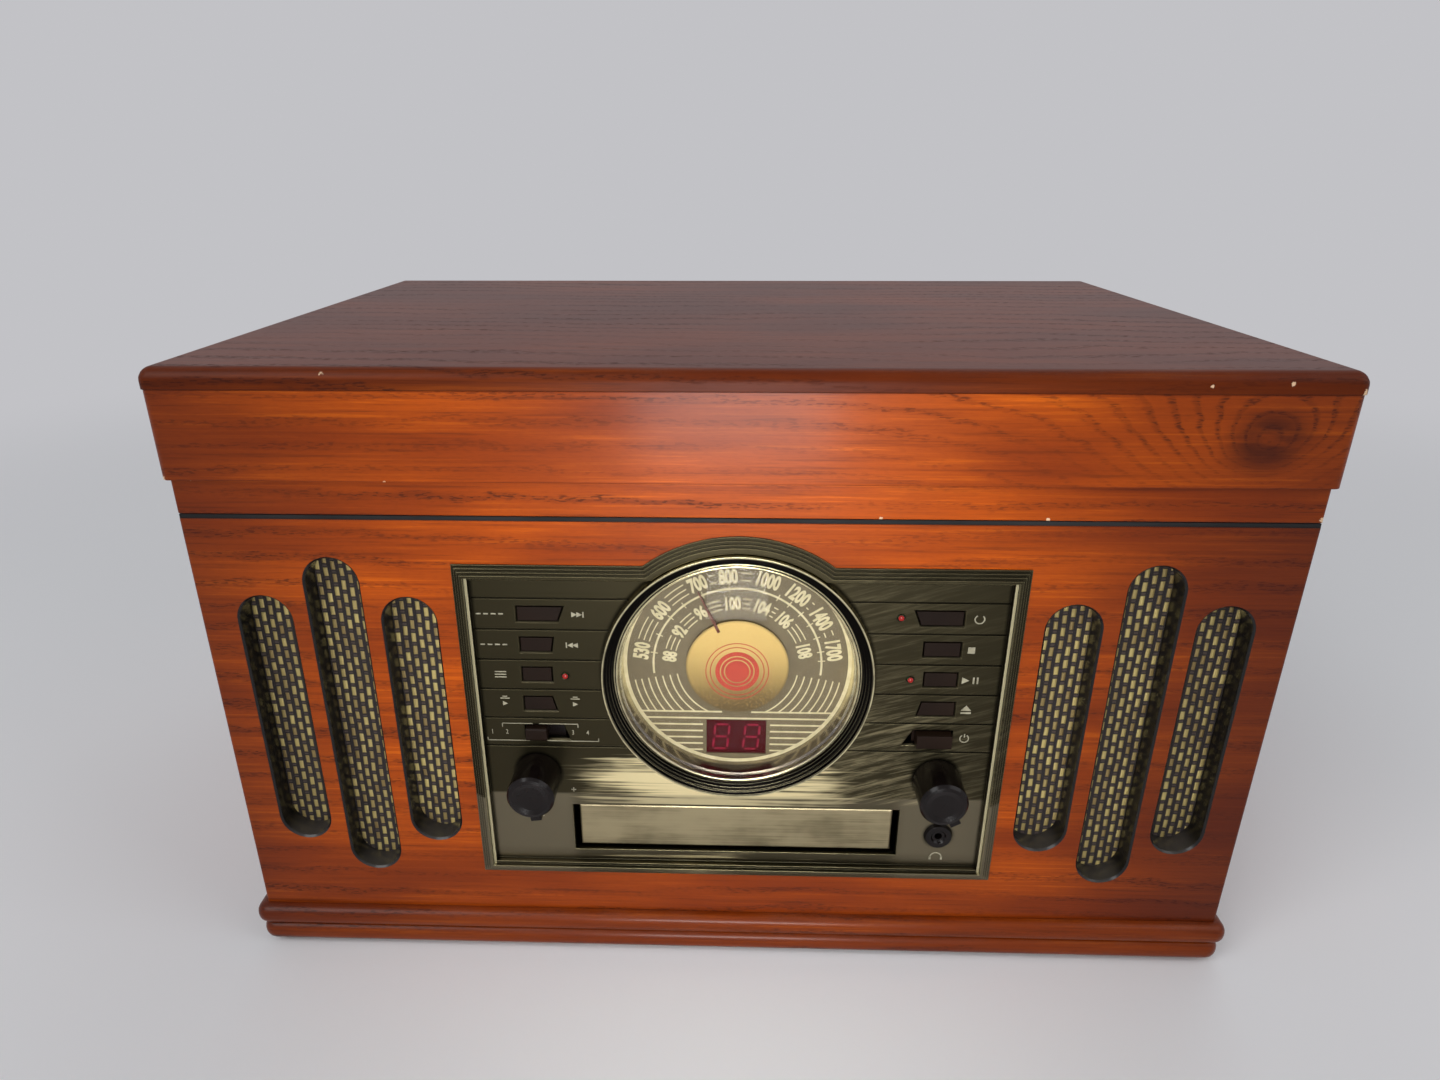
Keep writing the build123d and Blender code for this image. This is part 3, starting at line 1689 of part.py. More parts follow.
def power_board():
    centre_x = power_board_from_side - half_width
    centre_y = rear_inner - power_board_from_back - power_board_depth / 2
    half_x, half_y = power_board_width / 2, power_board_depth / 2
    z = floor_z + standoff_height
    top = z + board_thickness
    board = block(about(centre_x, half_x), about(centre_y, half_y), (z, top))
    for x in about(centre_x, half_x - standoff_inset):
        for y in about(centre_y, half_y - standoff_inset):
            board += rod_z(x, y, (floor_z, z + fit_gap), standoff_radius)
    core_x = centre_x - half_x + transformer_inset + transformer_length / 2
    board += transformer(core_x, centre_y, top - fit_gap)
    for y in about(centre_y, can_spacing / 2):
        board += rod_z(centre_x + half_x - can_inset, y, (top - fit_gap, top + can_height), can_radius)
    return board


builders = [
    front_panel, left_side_panel, right_side_panel, rear_panel, bottom_board, base_moulding, rubber_feet,
    lid_top_board, lid_apron, lid_band, lid_bumpers, hinge_body_leaves, hinge_lid_leaves,
    stay_lower_arm, stay_upper_arm, grille_cloths, speakers,
    control_panel, dial_bezel, dial_lens, dial_plate, dial_disc, dial_pointer, digit_display,
    function_slider, volume_knob, tuning_knob, headphone_jack, control_board,
    cd_door, cd_tray, cd_chassis,
    turntable_deck, platter, platter_mat, drive_belt, motor_pulley, platter_motor,
    tonearm_base, tonearm_yoke, tonearm, cartridge, cue_lever, cue_platform, speed_lever,
    cassette_deck, cassette_flap, cassette_eject_key,
    line_out_jacks, cord_gland, power_board,
]

os.makedirs("parts", exist_ok=True)
for builder in builders:
    save(builder.__name__, builder())
for name in openings:
    if name != "function_slider":
        projection = button_projection.get(name, 0.0)
        save(name, button(name, projection, button_travel.get(name, short_travel)))
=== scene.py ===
import math

import bmesh
import bpy
import numpy as np
from mathutils import Matrix, Vector


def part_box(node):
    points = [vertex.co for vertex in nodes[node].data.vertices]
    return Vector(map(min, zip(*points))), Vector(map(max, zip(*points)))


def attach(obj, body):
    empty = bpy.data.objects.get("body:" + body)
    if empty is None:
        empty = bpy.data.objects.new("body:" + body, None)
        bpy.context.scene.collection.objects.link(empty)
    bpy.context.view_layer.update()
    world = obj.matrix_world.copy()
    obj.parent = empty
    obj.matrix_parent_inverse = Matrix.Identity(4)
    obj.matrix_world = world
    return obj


print("stage: load the frame")
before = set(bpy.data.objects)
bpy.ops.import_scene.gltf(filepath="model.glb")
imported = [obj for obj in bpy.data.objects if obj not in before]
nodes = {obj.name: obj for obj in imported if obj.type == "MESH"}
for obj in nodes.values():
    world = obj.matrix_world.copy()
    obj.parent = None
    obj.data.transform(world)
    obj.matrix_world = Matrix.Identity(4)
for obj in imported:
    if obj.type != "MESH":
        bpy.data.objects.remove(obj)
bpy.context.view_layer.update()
mm = 0.001
dialCentre = 0.1622  # height of the dial's axis, in metres
platterAxis = (-62.0, 5.75)  # x and y of the spindle, in millimetres


def low(name):
    return np.array(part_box(name)[0])


def high(name):
    return np.array(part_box(name)[1])


def feed(tree, socket, value):
    if isinstance(value, bpy.types.NodeSocket):
        tree.links.new(value, socket)
    elif value is not None:
        socket.default_value = value


def addNode(tree, kind, inputs=None, **settings):
    made = tree.nodes.new("ShaderNode" + kind)
    for name, value in settings.items():
        setattr(made, name, value)
    for name, value in (inputs or {}).items():
        feed(tree, made.inputs[name], value)
    return made


def calc(tree, operation, *values, clamp=False):
    made = addNode(tree, "Math", operation=operation, use_clamp=clamp)
    for socket, value in zip(made.inputs, values):
        feed(tree, socket, value)
    return made.outputs[0]


def times(tree, *values):
    made = values[0]
    for value in values[1:]:
        made = calc(tree, "MULTIPLY", made, value)
    return made


def blendColour(tree, factor, first, second):
    made = addNode(tree, "Mix", data_type="RGBA")
    feed(tree, made.inputs[0], factor)
    feed(tree, made.inputs[6], first)
    feed(tree, made.inputs[7], second)
    return made.outputs[2]


def remap(tree, value, fromLow, fromHigh, toLow=0.0, toHigh=1.0):
    made = addNode(tree, "MapRange", {"Value": value, "From Min": fromLow, "From Max": fromHigh,
                                      "To Min": toLow, "To Max": toHigh}, interpolation_type="SMOOTHSTEP")
    return made.outputs[0]


def noise(tree, vector, scale, detail=2.0, rough=0.5):
    return addNode(tree, "TexNoise", {"Vector": vector, "Scale": scale, "Detail": detail,
                                      "Roughness": rough}).outputs["Fac"]


def stretch(tree, x, y, z):
    return addNode(tree, "CombineXYZ", {"X": x, "Y": y, "Z": z}).outputs[0]


def scaled(tree, parts, factors):
    # the three parts of a place, each times its own factor
    return stretch(tree, *(times(tree, part, factor) for part, factor in zip(parts, factors)))


def objectPlace(tree):
    return addNode(tree, "TexCoord").outputs["Object"]


def faceNormal(tree):
    return addNode(tree, "TexCoord").outputs["Normal"]


def axes(tree, vector):
    return addNode(tree, "SeparateXYZ", {"Vector": vector}).outputs


def rgb(red, green, blue):
    # the usual screen colour from 0 to 255, turned to the linear values that the shaders take
    values = np.array([red, green, blue]) / 255
    linear = np.where(values <= 0.04045, values / 12.92, ((values + 0.055) / 1.055) ** 2.4)
    return (*linear.tolist(), 1.0)


def makeGroup(name, inputs, outputs):
    group = bpy.data.node_groups.new(name, "ShaderNodeTree")
    for label, kind, value in inputs:
        socket = group.interface.new_socket(label, in_out="INPUT", socket_type="NodeSocket" + kind)
        if value is not None:
            socket.default_value = value
    for label, kind in outputs:
        group.interface.new_socket(label, in_out="OUTPUT", socket_type="NodeSocket" + kind)
    return group, group.nodes.new("NodeGroupInput").outputs, group.nodes.new("NodeGroupOutput").inputs


def useGroup(tree, group, inputs=None):
    made = tree.nodes.new("ShaderNodeGroup")
    made.node_tree = group
    for name, value in (inputs or {}).items():
        feed(tree, made.inputs[name], value)
    return made.outputs


print("stage: shared effects")


def veneerGroup():
    # growth rings cut by the board: a height field over the board, warped by slow noise, read in steps of one
    # ring; round the knot the field rises in a cone, so the rings slope down to it and close round it
    look = {
        "slow": (2.6, 6.0, 9.0), "wobble": (34.0, 34.0, 120.0), "fibre": (12.0, 520.0, 520.0),
        "pore": (260.0, 1500.0, 1500.0), "patch": (5.0, 16.0, 20.0), "cloud": (7.0, 20.0, 34.0),
        "slope": 0.62, "wobbleShare": 0.9, "knotFront": -0.1, "knotFlat": 1.25, "coneWidth": 0.05,
        "coneHeight": 0.125, "eyeFrom": 0.024, "eyeTo": 0.006, "ringShare": 0.3, "poreShare": 0.72,
    }
    group, given, out = makeGroup("veneerGrain", [
        ("Bright", "Color", rgb(204, 98, 26)), ("Light", "Color", rgb(196, 88, 34)),
        ("Middle", "Color", rgb(170, 70, 25)), ("Dark", "Color", rgb(92, 33, 14)),
        ("Ring", "Float", 0.0085), ("Warp", "Float", 0.03), ("Shift", "Float", 0.0),
        ("Knot", "Float", 0.0), ("Knot Along", "Float", 0.2), ("Knot Up", "Float", 0.27),
    ], [("Color", "Color"), ("Height", "Float"), ("Pores", "Float")])
    at = axes(group, objectPlace(group))
    facing = axes(group, faceNormal(group))
    onSide = calc(group, "GREATER_THAN", calc(group, "ABSOLUTE", facing[0]), 0.75)
    along = addNode(group, "Mix", {"Factor": onSide, "A": at[0], "B": at[1]}).outputs[0]
    across = addNode(group, "Mix", {"Factor": onSide, "A": at[1], "B": at[0]}).outputs[0]
    up = at[2]
    board = (calc(group, "ADD", along, given["Shift"]), across, up)

    def boardNoise(kind, detail, rough):
        return noise(group, scaled(group, board, look[kind]), 1.0, detail, rough)

    slow = calc(group, "SUBTRACT", boardNoise("slow", 2.0, 0.45), 0.5)
    level = calc(group, "MULTIPLY_ADD", across, look["slope"], up)
    level = calc(group, "MULTIPLY_ADD", slow, times(group, given["Warp"], 2.0), level)
    knot = times(group, given["Knot"], calc(group, "LESS_THAN", at[1], look["knotFront"]))
    fromAlong = calc(group, "SUBTRACT", along, given["Knot Along"])
    fromUp = times(group, calc(group, "SUBTRACT", up, given["Knot Up"]), look["knotFlat"])
    squares = calc(group, "ADD", times(group, fromAlong, fromAlong), times(group, fromUp, fromUp))
    distance = calc(group, "SQRT", squares)
    cone = times(group, calc(group, "POWER", math.e, calc(group, "DIVIDE", distance, -look["coneWidth"])), knot)
    level = calc(group, "MULTIPLY_ADD", cone, look["coneHeight"], level)
    wobble = boardNoise("wobble", 3.0, 0.6)
    phase = calc(group, "MULTIPLY_ADD", wobble, look["wobbleShare"], calc(group, "DIVIDE", level, given["Ring"]))
    phase = calc(group, "FRACT", phase)
    fibre = boardNoise("fibre", 4.0, 0.7)
    strong = remap(group, boardNoise("patch", 1.0, 0.5), 0.36, 0.62, 0.25, 1.0)
    late = times(group, remap(group, phase, 0.55, 0.8), remap(group, phase, 1.0, 0.88), strong)
    pores = times(group, remap(group, boardNoise("pore", 1.0, 0.5), 0.52, 0.6),
                  calc(group, "MULTIPLY_ADD", late, 0.85, 0.1))
    cloud = boardNoise("cloud", 2.0, 0.5)
    colour = blendColour(group, remap(group, cloud, 0.28, 0.72), given["Middle"], given["Light"])
    colour = blendColour(group, times(group, late, look["ringShare"]), colour, given["Dark"])
    glow = times(group, remap(group, fibre, 0.48, 0.3), remap(group, cloud, 0.4, 0.66, 0.15, 0.75))
    colour = blendColour(group, glow, colour, given["Bright"])
    colour = blendColour(group, times(group, remap(group, fibre, 0.5, 0.74), 0.5), colour, given["Dark"])
    colour = blendColour(group, times(group, pores, look["poreShare"]), colour, given["Dark"])
    eye = times(group, remap(group, distance, look["eyeFrom"], look["eyeTo"]), knot,
                remap(group, wobble, 0.3, 0.6, 0.35, 0.9))
    feed(group, out["Color"], blendColour(group, eye, colour, given["Dark"]))
    feed(group, out["Height"], calc(group, "MULTIPLY_ADD", pores, -0.7, fibre))
    feed(group, out["Pores"], pores)
    return group


def edgeGroup():
    # how much the surface turns within a small radius, broken up by noise so that only some of the edge is worn
    group, given, out = makeGroup(
        "edgeWear", [("Radius", "Float", 0.0012), ("Breakup", "Float", 90.0), ("Amount", "Float", 0.5)],
        [("Mask", "Float"), ("Edge", "Float"), ("Normal", "Vector")])
    rounded = addNode(group, "Bevel", {"Radius": given["Radius"]}, samples=4).outputs[0]
    surface = addNode(group, "NewGeometry").outputs["Normal"]
    turned = addNode(group, "VectorMath", {0: rounded, 1: surface}, operation="DOT_PRODUCT").outputs["Value"]
    edge = remap(group, turned, 0.985, 0.86)
    patches = noise(group, objectPlace(group), given["Breakup"], 4.0, 0.7)
    gate = calc(group, "SUBTRACT", 1.0, times(group, given["Amount"], 0.62))
    cut = calc(group, "MULTIPLY", calc(group, "SUBTRACT", patches, gate), 9.0, clamp=True)
    feed(group, out["Mask"], times(group, edge, cut))
    feed(group, out["Edge"], edge)
    feed(group, out["Normal"], rounded)
    return group


def brushGroup():
    # long thin streaks across the sheet and a cloudy dark patina between them
    look = {"streakAlong": 11.0, "broad": (16.0, 60.0, 75.0), "broadShare": 0.55, "cloudShare": 0.45,
            "streakShare": 0.28, "patinaFrom": 0.36, "patinaTo": 0.66, "roughShare": 0.16}
    group, given, out = makeGroup("brushedPatina", [
        ("Clean", "Color", rgb(186, 172, 128)), ("Aged", "Color", rgb(70, 64, 44)), ("Age", "Float", 0.5),
        ("Fine", "Float", 900.0), ("Cloud", "Float", 14.0), ("Rough", "Float", 0.25)],
        [("Color", "Color"), ("Roughness", "Float"), ("Height", "Float")])
    at = axes(group, objectPlace(group))[:3]
    streak = noise(group, scaled(group, at, (look["streakAlong"], given["Fine"], given["Fine"])), 1.0, 4.0, 0.7)
    broad = noise(group, scaled(group, at, look["broad"]), 1.0, 4.0, 0.6)
    cloud = noise(group, objectPlace(group), given["Cloud"], 3.0, 0.6)
    mask = calc(group, "ADD", times(group, broad, look["broadShare"]), times(group, cloud, look["cloudShare"]))
    mask = calc(group, "MULTIPLY_ADD", calc(group, "SUBTRACT", streak, 0.5), look["streakShare"], mask)
    patina = calc(group, "ADD", calc(group, "SUBTRACT", given["Age"], 0.5), mask)
    patina = remap(group, patina, look["patinaFrom"], look["patinaTo"])
    feed(group, out["Color"], blendColour(group, patina, given["Clean"], given["Aged"]))
    feed(group, out["Roughness"], calc(group, "MULTIPLY_ADD", streak, look["roughShare"], given["Rough"], clamp=True))
    feed(group, out["Height"], streak)
    return group


def mouldGroup():
    # moulded plastic: a fine spark-eroded grain, flow marks and a few rubbed, shinier places
    group, given, out = makeGroup(
        "mouldedGrain", [("Grain", "Float", 1400.0), ("Flow", "Float", 18.0), ("Rough", "Float", 0.4)],
        [("Tone", "Float"), ("Roughness", "Float"), ("Height", "Float")])
    place = objectPlace(group)
    flow = noise(group, place, given["Flow"], 3.0, 0.5)
    rubbed = noise(group, place, 46.0, 4.0, 0.65)
    rough = calc(group, "MULTIPLY_ADD", calc(group, "SUBTRACT", rubbed, 0.5), 0.3, given["Rough"])
    rough = calc(group, "MULTIPLY_ADD", calc(group, "SUBTRACT", flow, 0.5), 0.12, rough, clamp=True)
    feed(group, out["Tone"], remap(group, flow, 0.3, 0.7))
    feed(group, out["Roughness"], rough)
    feed(group, out["Height"], noise(group, place, given["Grain"], 2.0, 0.6))
    return group


def clothGroup():
    # flat dashes of gold thread in columns, every second column half a step lower, with short dull threads between
    # them, over a crossed black weave
    look = {"columnWaver": 0.0012, "rowWaver": 0.4, "halfWidth": 0.3, "innerWidth": 0.18, "halfLength": 0.345,
            "innerLength": 0.28, "crown": 2.6, "weaveScale": 420.0}
    group, given, out = makeGroup(
        "grilleWeave", [("Column", "Float", 0.00366), ("Row", "Float", 0.0066)],
        [("Thread", "Float"), ("Dull", "Float"), ("Height", "Float"), ("Tint", "Float"), ("Weave", "Float")])
    place = objectPlace(group)
    at = axes(group, place)
    waver = calc(group, "SUBTRACT", noise(group, place, 55.0, 2.0, 0.5), 0.5)
    column = calc(group, "DIVIDE", calc(group, "MULTIPLY_ADD", waver, look["columnWaver"], at[0]), given["Column"])
    columnNumber = calc(group, "FLOOR", column)
    odd = calc(group, "MODULO", calc(group, "ADD", columnNumber, 400.0), 2.0)  # 400 keeps the number above 0
    row = calc(group, "MULTIPLY_ADD", odd, 0.5, calc(group, "DIVIDE", at[2], given["Row"]))
    row = calc(group, "MULTIPLY_ADD", waver, look["rowWaver"], row)
    each = addNode(group, "TexWhiteNoise", {"Vector": stretch(group, columnNumber, calc(group, "FLOOR", row), 0.0)},
                   noise_dimensions="3D").outputs["Value"]
    fromMiddle = calc(group, "ABSOLUTE", calc(group, "SUBTRACT", calc(group, "FRACT", column), 0.5))
    fromCentre = calc(group, "ABSOLUTE", calc(group, "SUBTRACT", calc(group, "FRACT", row), 0.5))
    wide = remap(group, fromMiddle, calc(group, "MULTIPLY_ADD", each, 0.06, look["halfWidth"]), look["innerWidth"])
    tall = remap(group, fromCentre, calc(group, "MULTIPLY_ADD", each, 0.05, look["halfLength"]), look["innerLength"])
    thread = times(group, wide, tall)
    dull = times(group, remap(group, fromMiddle, 0.3, 0.2), remap(group, fromCentre, 0.4, 0.45))
    across = times(group, fromMiddle, look["crown"])
    crown = calc(group, "SUBTRACT", 1.0, times(group, across, across))
    crossed = {"Vector": place, "Scale": look["weaveScale"], "Distortion": 1.5, "Detail": 1.0}
    waves = [addNode(group, "TexWave", crossed, bands_direction=way).outputs["Fac"] for way in ("Z", "X")]
    weave = times(group, *waves)
    height = calc(group, "MULTIPLY_ADD", thread, crown, times(group, weave, 0.3))
    for socket, value in (("Thread", thread), ("Dull", dull), ("Height", height), ("Tint", each), ("Weave", weave)):
        feed(group, out[socket], value)
    return group


def dustGroup():
    # dust settles on faces that look up, in soft patches
    group, given, out = makeGroup("settledDust", [("Amount", "Float", 0.3)], [("Mask", "Float")])
    place = objectPlace(group)
    upward = axes(group, faceNormal(group))[2]
    patches = noise(group, place, 34.0, 5.0, 0.7)
    specks = remap(group, noise(group, place, 1300.0, 1.0, 0.5), 0.45, 0.7)
    amount = times(group, remap(group, upward, 0.2, 0.95), remap(group, patches, 0.35, 0.75),
                   calc(group, "MULTIPLY_ADD", specks, 0.6, 0.4), given["Amount"])
    feed(group, out["Mask"], amount)
    return group


def cavityGroup():
    # darker where the surroundings close in on the surface: dark patina in the hollows, and painted shade
    group, given, out = makeGroup("cavityPatinaShade", [("Distance", "Float", 0.002), ("Power", "Float", 1.6)],
                                  [("Mask", "Float")])
    closed = addNode(group, "AmbientOcclusion", {"Distance": given["Distance"]}, samples=6).outputs["AO"]
    feed(group, out["Mask"], calc(group, "SUBTRACT", 1.0, calc(group, "POWER", closed, given["Power"]), clamp=True))
    return group


veneerGrain = veneerGroup()
edgeWear = edgeGroup()
brushedPatina = brushGroup()
mouldedGrain = mouldGroup()
grilleWeave = clothGroup()
settledDust = dustGroup()
cavityPatinaShade = cavityGroup()

print("stage: materials")


def startMaterial(name):
    material = bpy.data.materials.new(name)
    material.use_nodes = True
    tree = material.node_tree
    tree.nodes.clear()
    shader = addNode(tree, "BsdfPrincipled")
    addNode(tree, "OutputMaterial", {"Surface": shader.outputs[0]})
    return material, tree, shader


def setShader(tree, shader, values):
    for name, value in values.items():
        feed(tree, shader.inputs[name], value)


def bumpFrom(tree, shader, height, strength, depth, rounded=None):
    made = addNode(tree, "Bump", {"Height": height, "Strength": strength, "Distance": depth, "Normal": rounded})
    feed(tree, shader.inputs["Normal"], made.outputs[0])


def mixShader(tree, factor, first, second):
    # shows the second shader instead of the first by the factor
    mixed = addNode(tree, "MixShader", {0: factor, 1: first.outputs[0], 2: second.outputs[0]})
    target = next(node for node in tree.nodes if node.type == "OUTPUT_MATERIAL")
    feed(tree, target.inputs["Surface"], mixed.outputs[0])


def between(tree, value, least, most):
    return times(tree, calc(tree, "GREATER_THAN", value, least), calc(tree, "LESS_THAN", value, most))


def nearPoint(tree, point, radius):
    # a ragged spot round a point of the object
    place = objectPlace(tree)
    rough = noise(tree, place, 900.0, 2.0, 0.6)
    gap = addNode(tree, "VectorMath", {0: place, 1: point}, operation="DISTANCE").outputs["Value"]
    gap = calc(tree, "MULTIPLY_ADD", calc(tree, "SUBTRACT", rough, 0.5), radius * 1.6, gap)
    return remap(tree, gap, radius, radius * 0.7)


def fromAxis(tree, centre, across):
    # distance from a line through the centre: across holds 1 for the axes that count
    flat = addNode(tree, "VectorMath", {0: objectPlace(tree), 1: centre}, operation="SUBTRACT").outputs[0]
    flat = addNode(tree, "VectorMath", {0: flat, 1: across}, operation="MULTIPLY").outputs[0]
    return addNode(tree, "VectorMath", {0: flat}, operation="LENGTH").outputs["Value"]


woodSet = {
    "bright": rgb(214, 103, 10), "light": rgb(178, 76, 5), "middle": rgb(134, 51, 4), "dark": rgb(60, 21, 5),
    "shade": rgb(44, 15, 8), "endShade": rgb(62, 19, 7), "chip": rgb(222, 186, 150), "film": rgb(110, 98, 90),
    "endShadeFrom": 0.1, "endShadeTo": 0.28, "footFrom": 0.11, "footTo": 0.02, "footShade": 0.46,
    "lacquerRoughness": 0.17, "slotBlack": rgb(16, 14, 13), "slotSheen": rgb(62, 58, 54), "slotGloss": 0.7,
    "slotOuter": 0.235, "slotLow": 0.03, "slotHigh": 0.233,
}


def woodMaterial(name, ring, warp, shift, wear, knot=None, chips=(), darken=0.0, slots=False, dust=0.15,
                 gloss=0.22, ends=0.58, lean=0.0):
    material, tree, shader = startMaterial(name)
    shade = woodSet["shade"]
    given = {label: blendColour(tree, darken * share, woodSet[label.lower()], shade)
             for label, share in (("Bright", 1.0), ("Light", 1.0), ("Middle", 1.0), ("Dark", 0.6))}
    given.update({"Ring": ring, "Warp": warp, "Shift": shift})
    if knot:
        given.update({"Knot": 1.0, "Knot Along": knot[0], "Knot Up": knot[1]})
    grain = useGroup(tree, veneerGrain, given)
    worn = useGroup(tree, edgeWear, {"Radius": 0.0009, "Breakup": 130.0, "Amount": wear})
    film = useGroup(tree, settledDust, {"Amount": dust})
    at = axes(tree, objectPlace(tree))
    # darker towards the ends and the foot of the cabinet: painted shade where the light falls off
    outward = remap(tree, calc(tree, "ABSOLUTE", calc(tree, "ADD", at[0], lean)),
                    woodSet["endShadeFrom"], woodSet["endShadeTo"], 0.0, ends)
    foot = remap(tree, at[2], woodSet["footFrom"], woodSet["footTo"], 0.0, woodSet["footShade"])
    colour = blendColour(tree, calc(tree, "MAXIMUM", outward, foot), grain["Color"], woodSet["endShade"])
    # painted shade: every edge and crease darkened towards the shade colour
    colour = blendColour(tree, times(tree, worn["Edge"], 0.35), colour, shade)
    chipMask = worn["Mask"]
    for point, radius in chips:
        chipMask = calc(tree, "MAXIMUM", chipMask, nearPoint(tree, point, radius))
    colour = blendColour(tree, chipMask, colour, woodSet["chip"])
    coat = gloss and calc(tree, "SUBTRACT", gloss, times(tree, chipMask, gloss * 0.9), clamp=True)
    if slots:
        # the walls of the slots are painted black, with a painted grey sheen where they look up
        normal = axes(tree, faceNormal(tree))
        wall = remap(tree, calc(tree, "ABSOLUTE", normal[1]), 0.985, 0.94)
        black = times(tree, wall, calc(tree, "LESS_THAN", calc(tree, "ABSOLUTE", at[0]), woodSet["slotOuter"]),
                      between(tree, at[2], woodSet["slotLow"], woodSet["slotHigh"]))
        paintAndSheen = blendColour(tree, remap(tree, normal[2], 0.35, 0.95), woodSet["slotBlack"], woodSet["slotSheen"])
        colour = blendColour(tree, black, colour, paintAndSheen)
        bare = calc(tree, "SUBTRACT", 1.0, black)
        coat = calc(tree, "MULTIPLY_ADD", black, woodSet["slotGloss"], times(tree, coat, bare))
    colour = blendColour(tree, film["Mask"], colour, woodSet["film"])
    setShader(tree, shader, {
        "Base Color": colour, "Roughness": calc(tree, "MULTIPLY_ADD", grain["Pores"], 0.2, 0.36),
        "Coat Weight": coat, "Coat Roughness": woodSet["lacquerRoughness"], "Coat IOR": 1.4, "IOR": 1.2})
    height = calc(tree, "MULTIPLY_ADD", chipMask, -4.0, grain["Height"])
    bumpFrom(tree, shader, height, 0.22, 0.0002, worn["Normal"])
    return material


def plasticMaterial(name, colour, second, rough=0.4, coat=0.0, wear=0.2, grain=1400.0, bump=0.12, dust=0.2,
                    shine=0.5):
    look = {"rubbed": rgb(120, 116, 110), "film": rgb(150, 146, 140), "coatRoughness": 0.12, "bend": 1.5}
    material, tree, shader = startMaterial(name)
    moulded = useGroup(tree, mouldedGrain, {"Grain": grain, "Rough": rough})
    edges = useGroup(tree, edgeWear, {"Radius": 0.0005, "Breakup": 170.0, "Amount": wear})
    film = useGroup(tree, settledDust, {"Amount": dust})
    tone = blendColour(tree, moulded["Tone"], colour, second)
    tone = blendColour(tree, times(tree, edges["Mask"], 0.7), tone, look["rubbed"])
    tone = blendColour(tree, film["Mask"], tone, look["film"])
    setShader(tree, shader, {
        "Base Color": tone, "Roughness": moulded["Roughness"], "Coat Weight": coat,
        "Coat Roughness": look["coatRoughness"], "IOR": look["bend"], "Specular IOR Level": shine})
    bumpFrom(tree, shader, moulded["Height"], bump, 0.0001, edges["Normal"])
    return material


def metalMaterial(name, clean, aged, age=0.4, rough=0.22, fine=900.0, cloud=14.0, bump=0.08):
    look = {"edgeClean": 0.5, "dust": 0.1, "film": rgb(120, 116, 106)}
    material, tree, shader = startMaterial(name)
    brushed = useGroup(tree, brushedPatina, {"Clean": clean, "Aged": aged, "Age": age, "Fine": fine, "Cloud": cloud,
                                             "Rough": rough})
    edges = useGroup(tree, edgeWear, {"Radius": 0.0006, "Breakup": 60.0, "Amount": 0.9})
    film = useGroup(tree, settledDust, {"Amount": look["dust"]})
    colour = blendColour(tree, times(tree, edges["Edge"], look["edgeClean"]), brushed["Color"], clean)
    colour = blendColour(tree, film["Mask"], colour, look["film"])
    setShader(tree, shader, {"Base Color": colour, "Metallic": 1.0, "Roughness": brushed["Roughness"]})
    bumpFrom(tree, shader, brushed["Height"], bump, 0.0001, edges["Normal"])
    return material


panelSet = {
    "clean": rgb(226, 211, 164), "aged": rgb(58, 53, 38), "grooveDark": rgb(20, 18, 14), "grey": rgb(118, 110, 90),
    "edge": rgb(160, 150, 112), "ledge": rgb(206, 196, 154), "film": rgb(110, 106, 96),
    "bandTop": 0.124, "bandLow": 0.0962, "bandMiddle": -0.014, "bandFull": 0.01, "bandEnd": 0.12,
    "ledgeFrom": 0.1199, "ledgeTo": 0.1211, "ledgeFoot": 0.0054, "ledgeHead": 0.1623,
    "scuffSlope": (0.34, -0.3), "scuffScale": (26.0, 420.0), "scuffShare": 0.42,
}


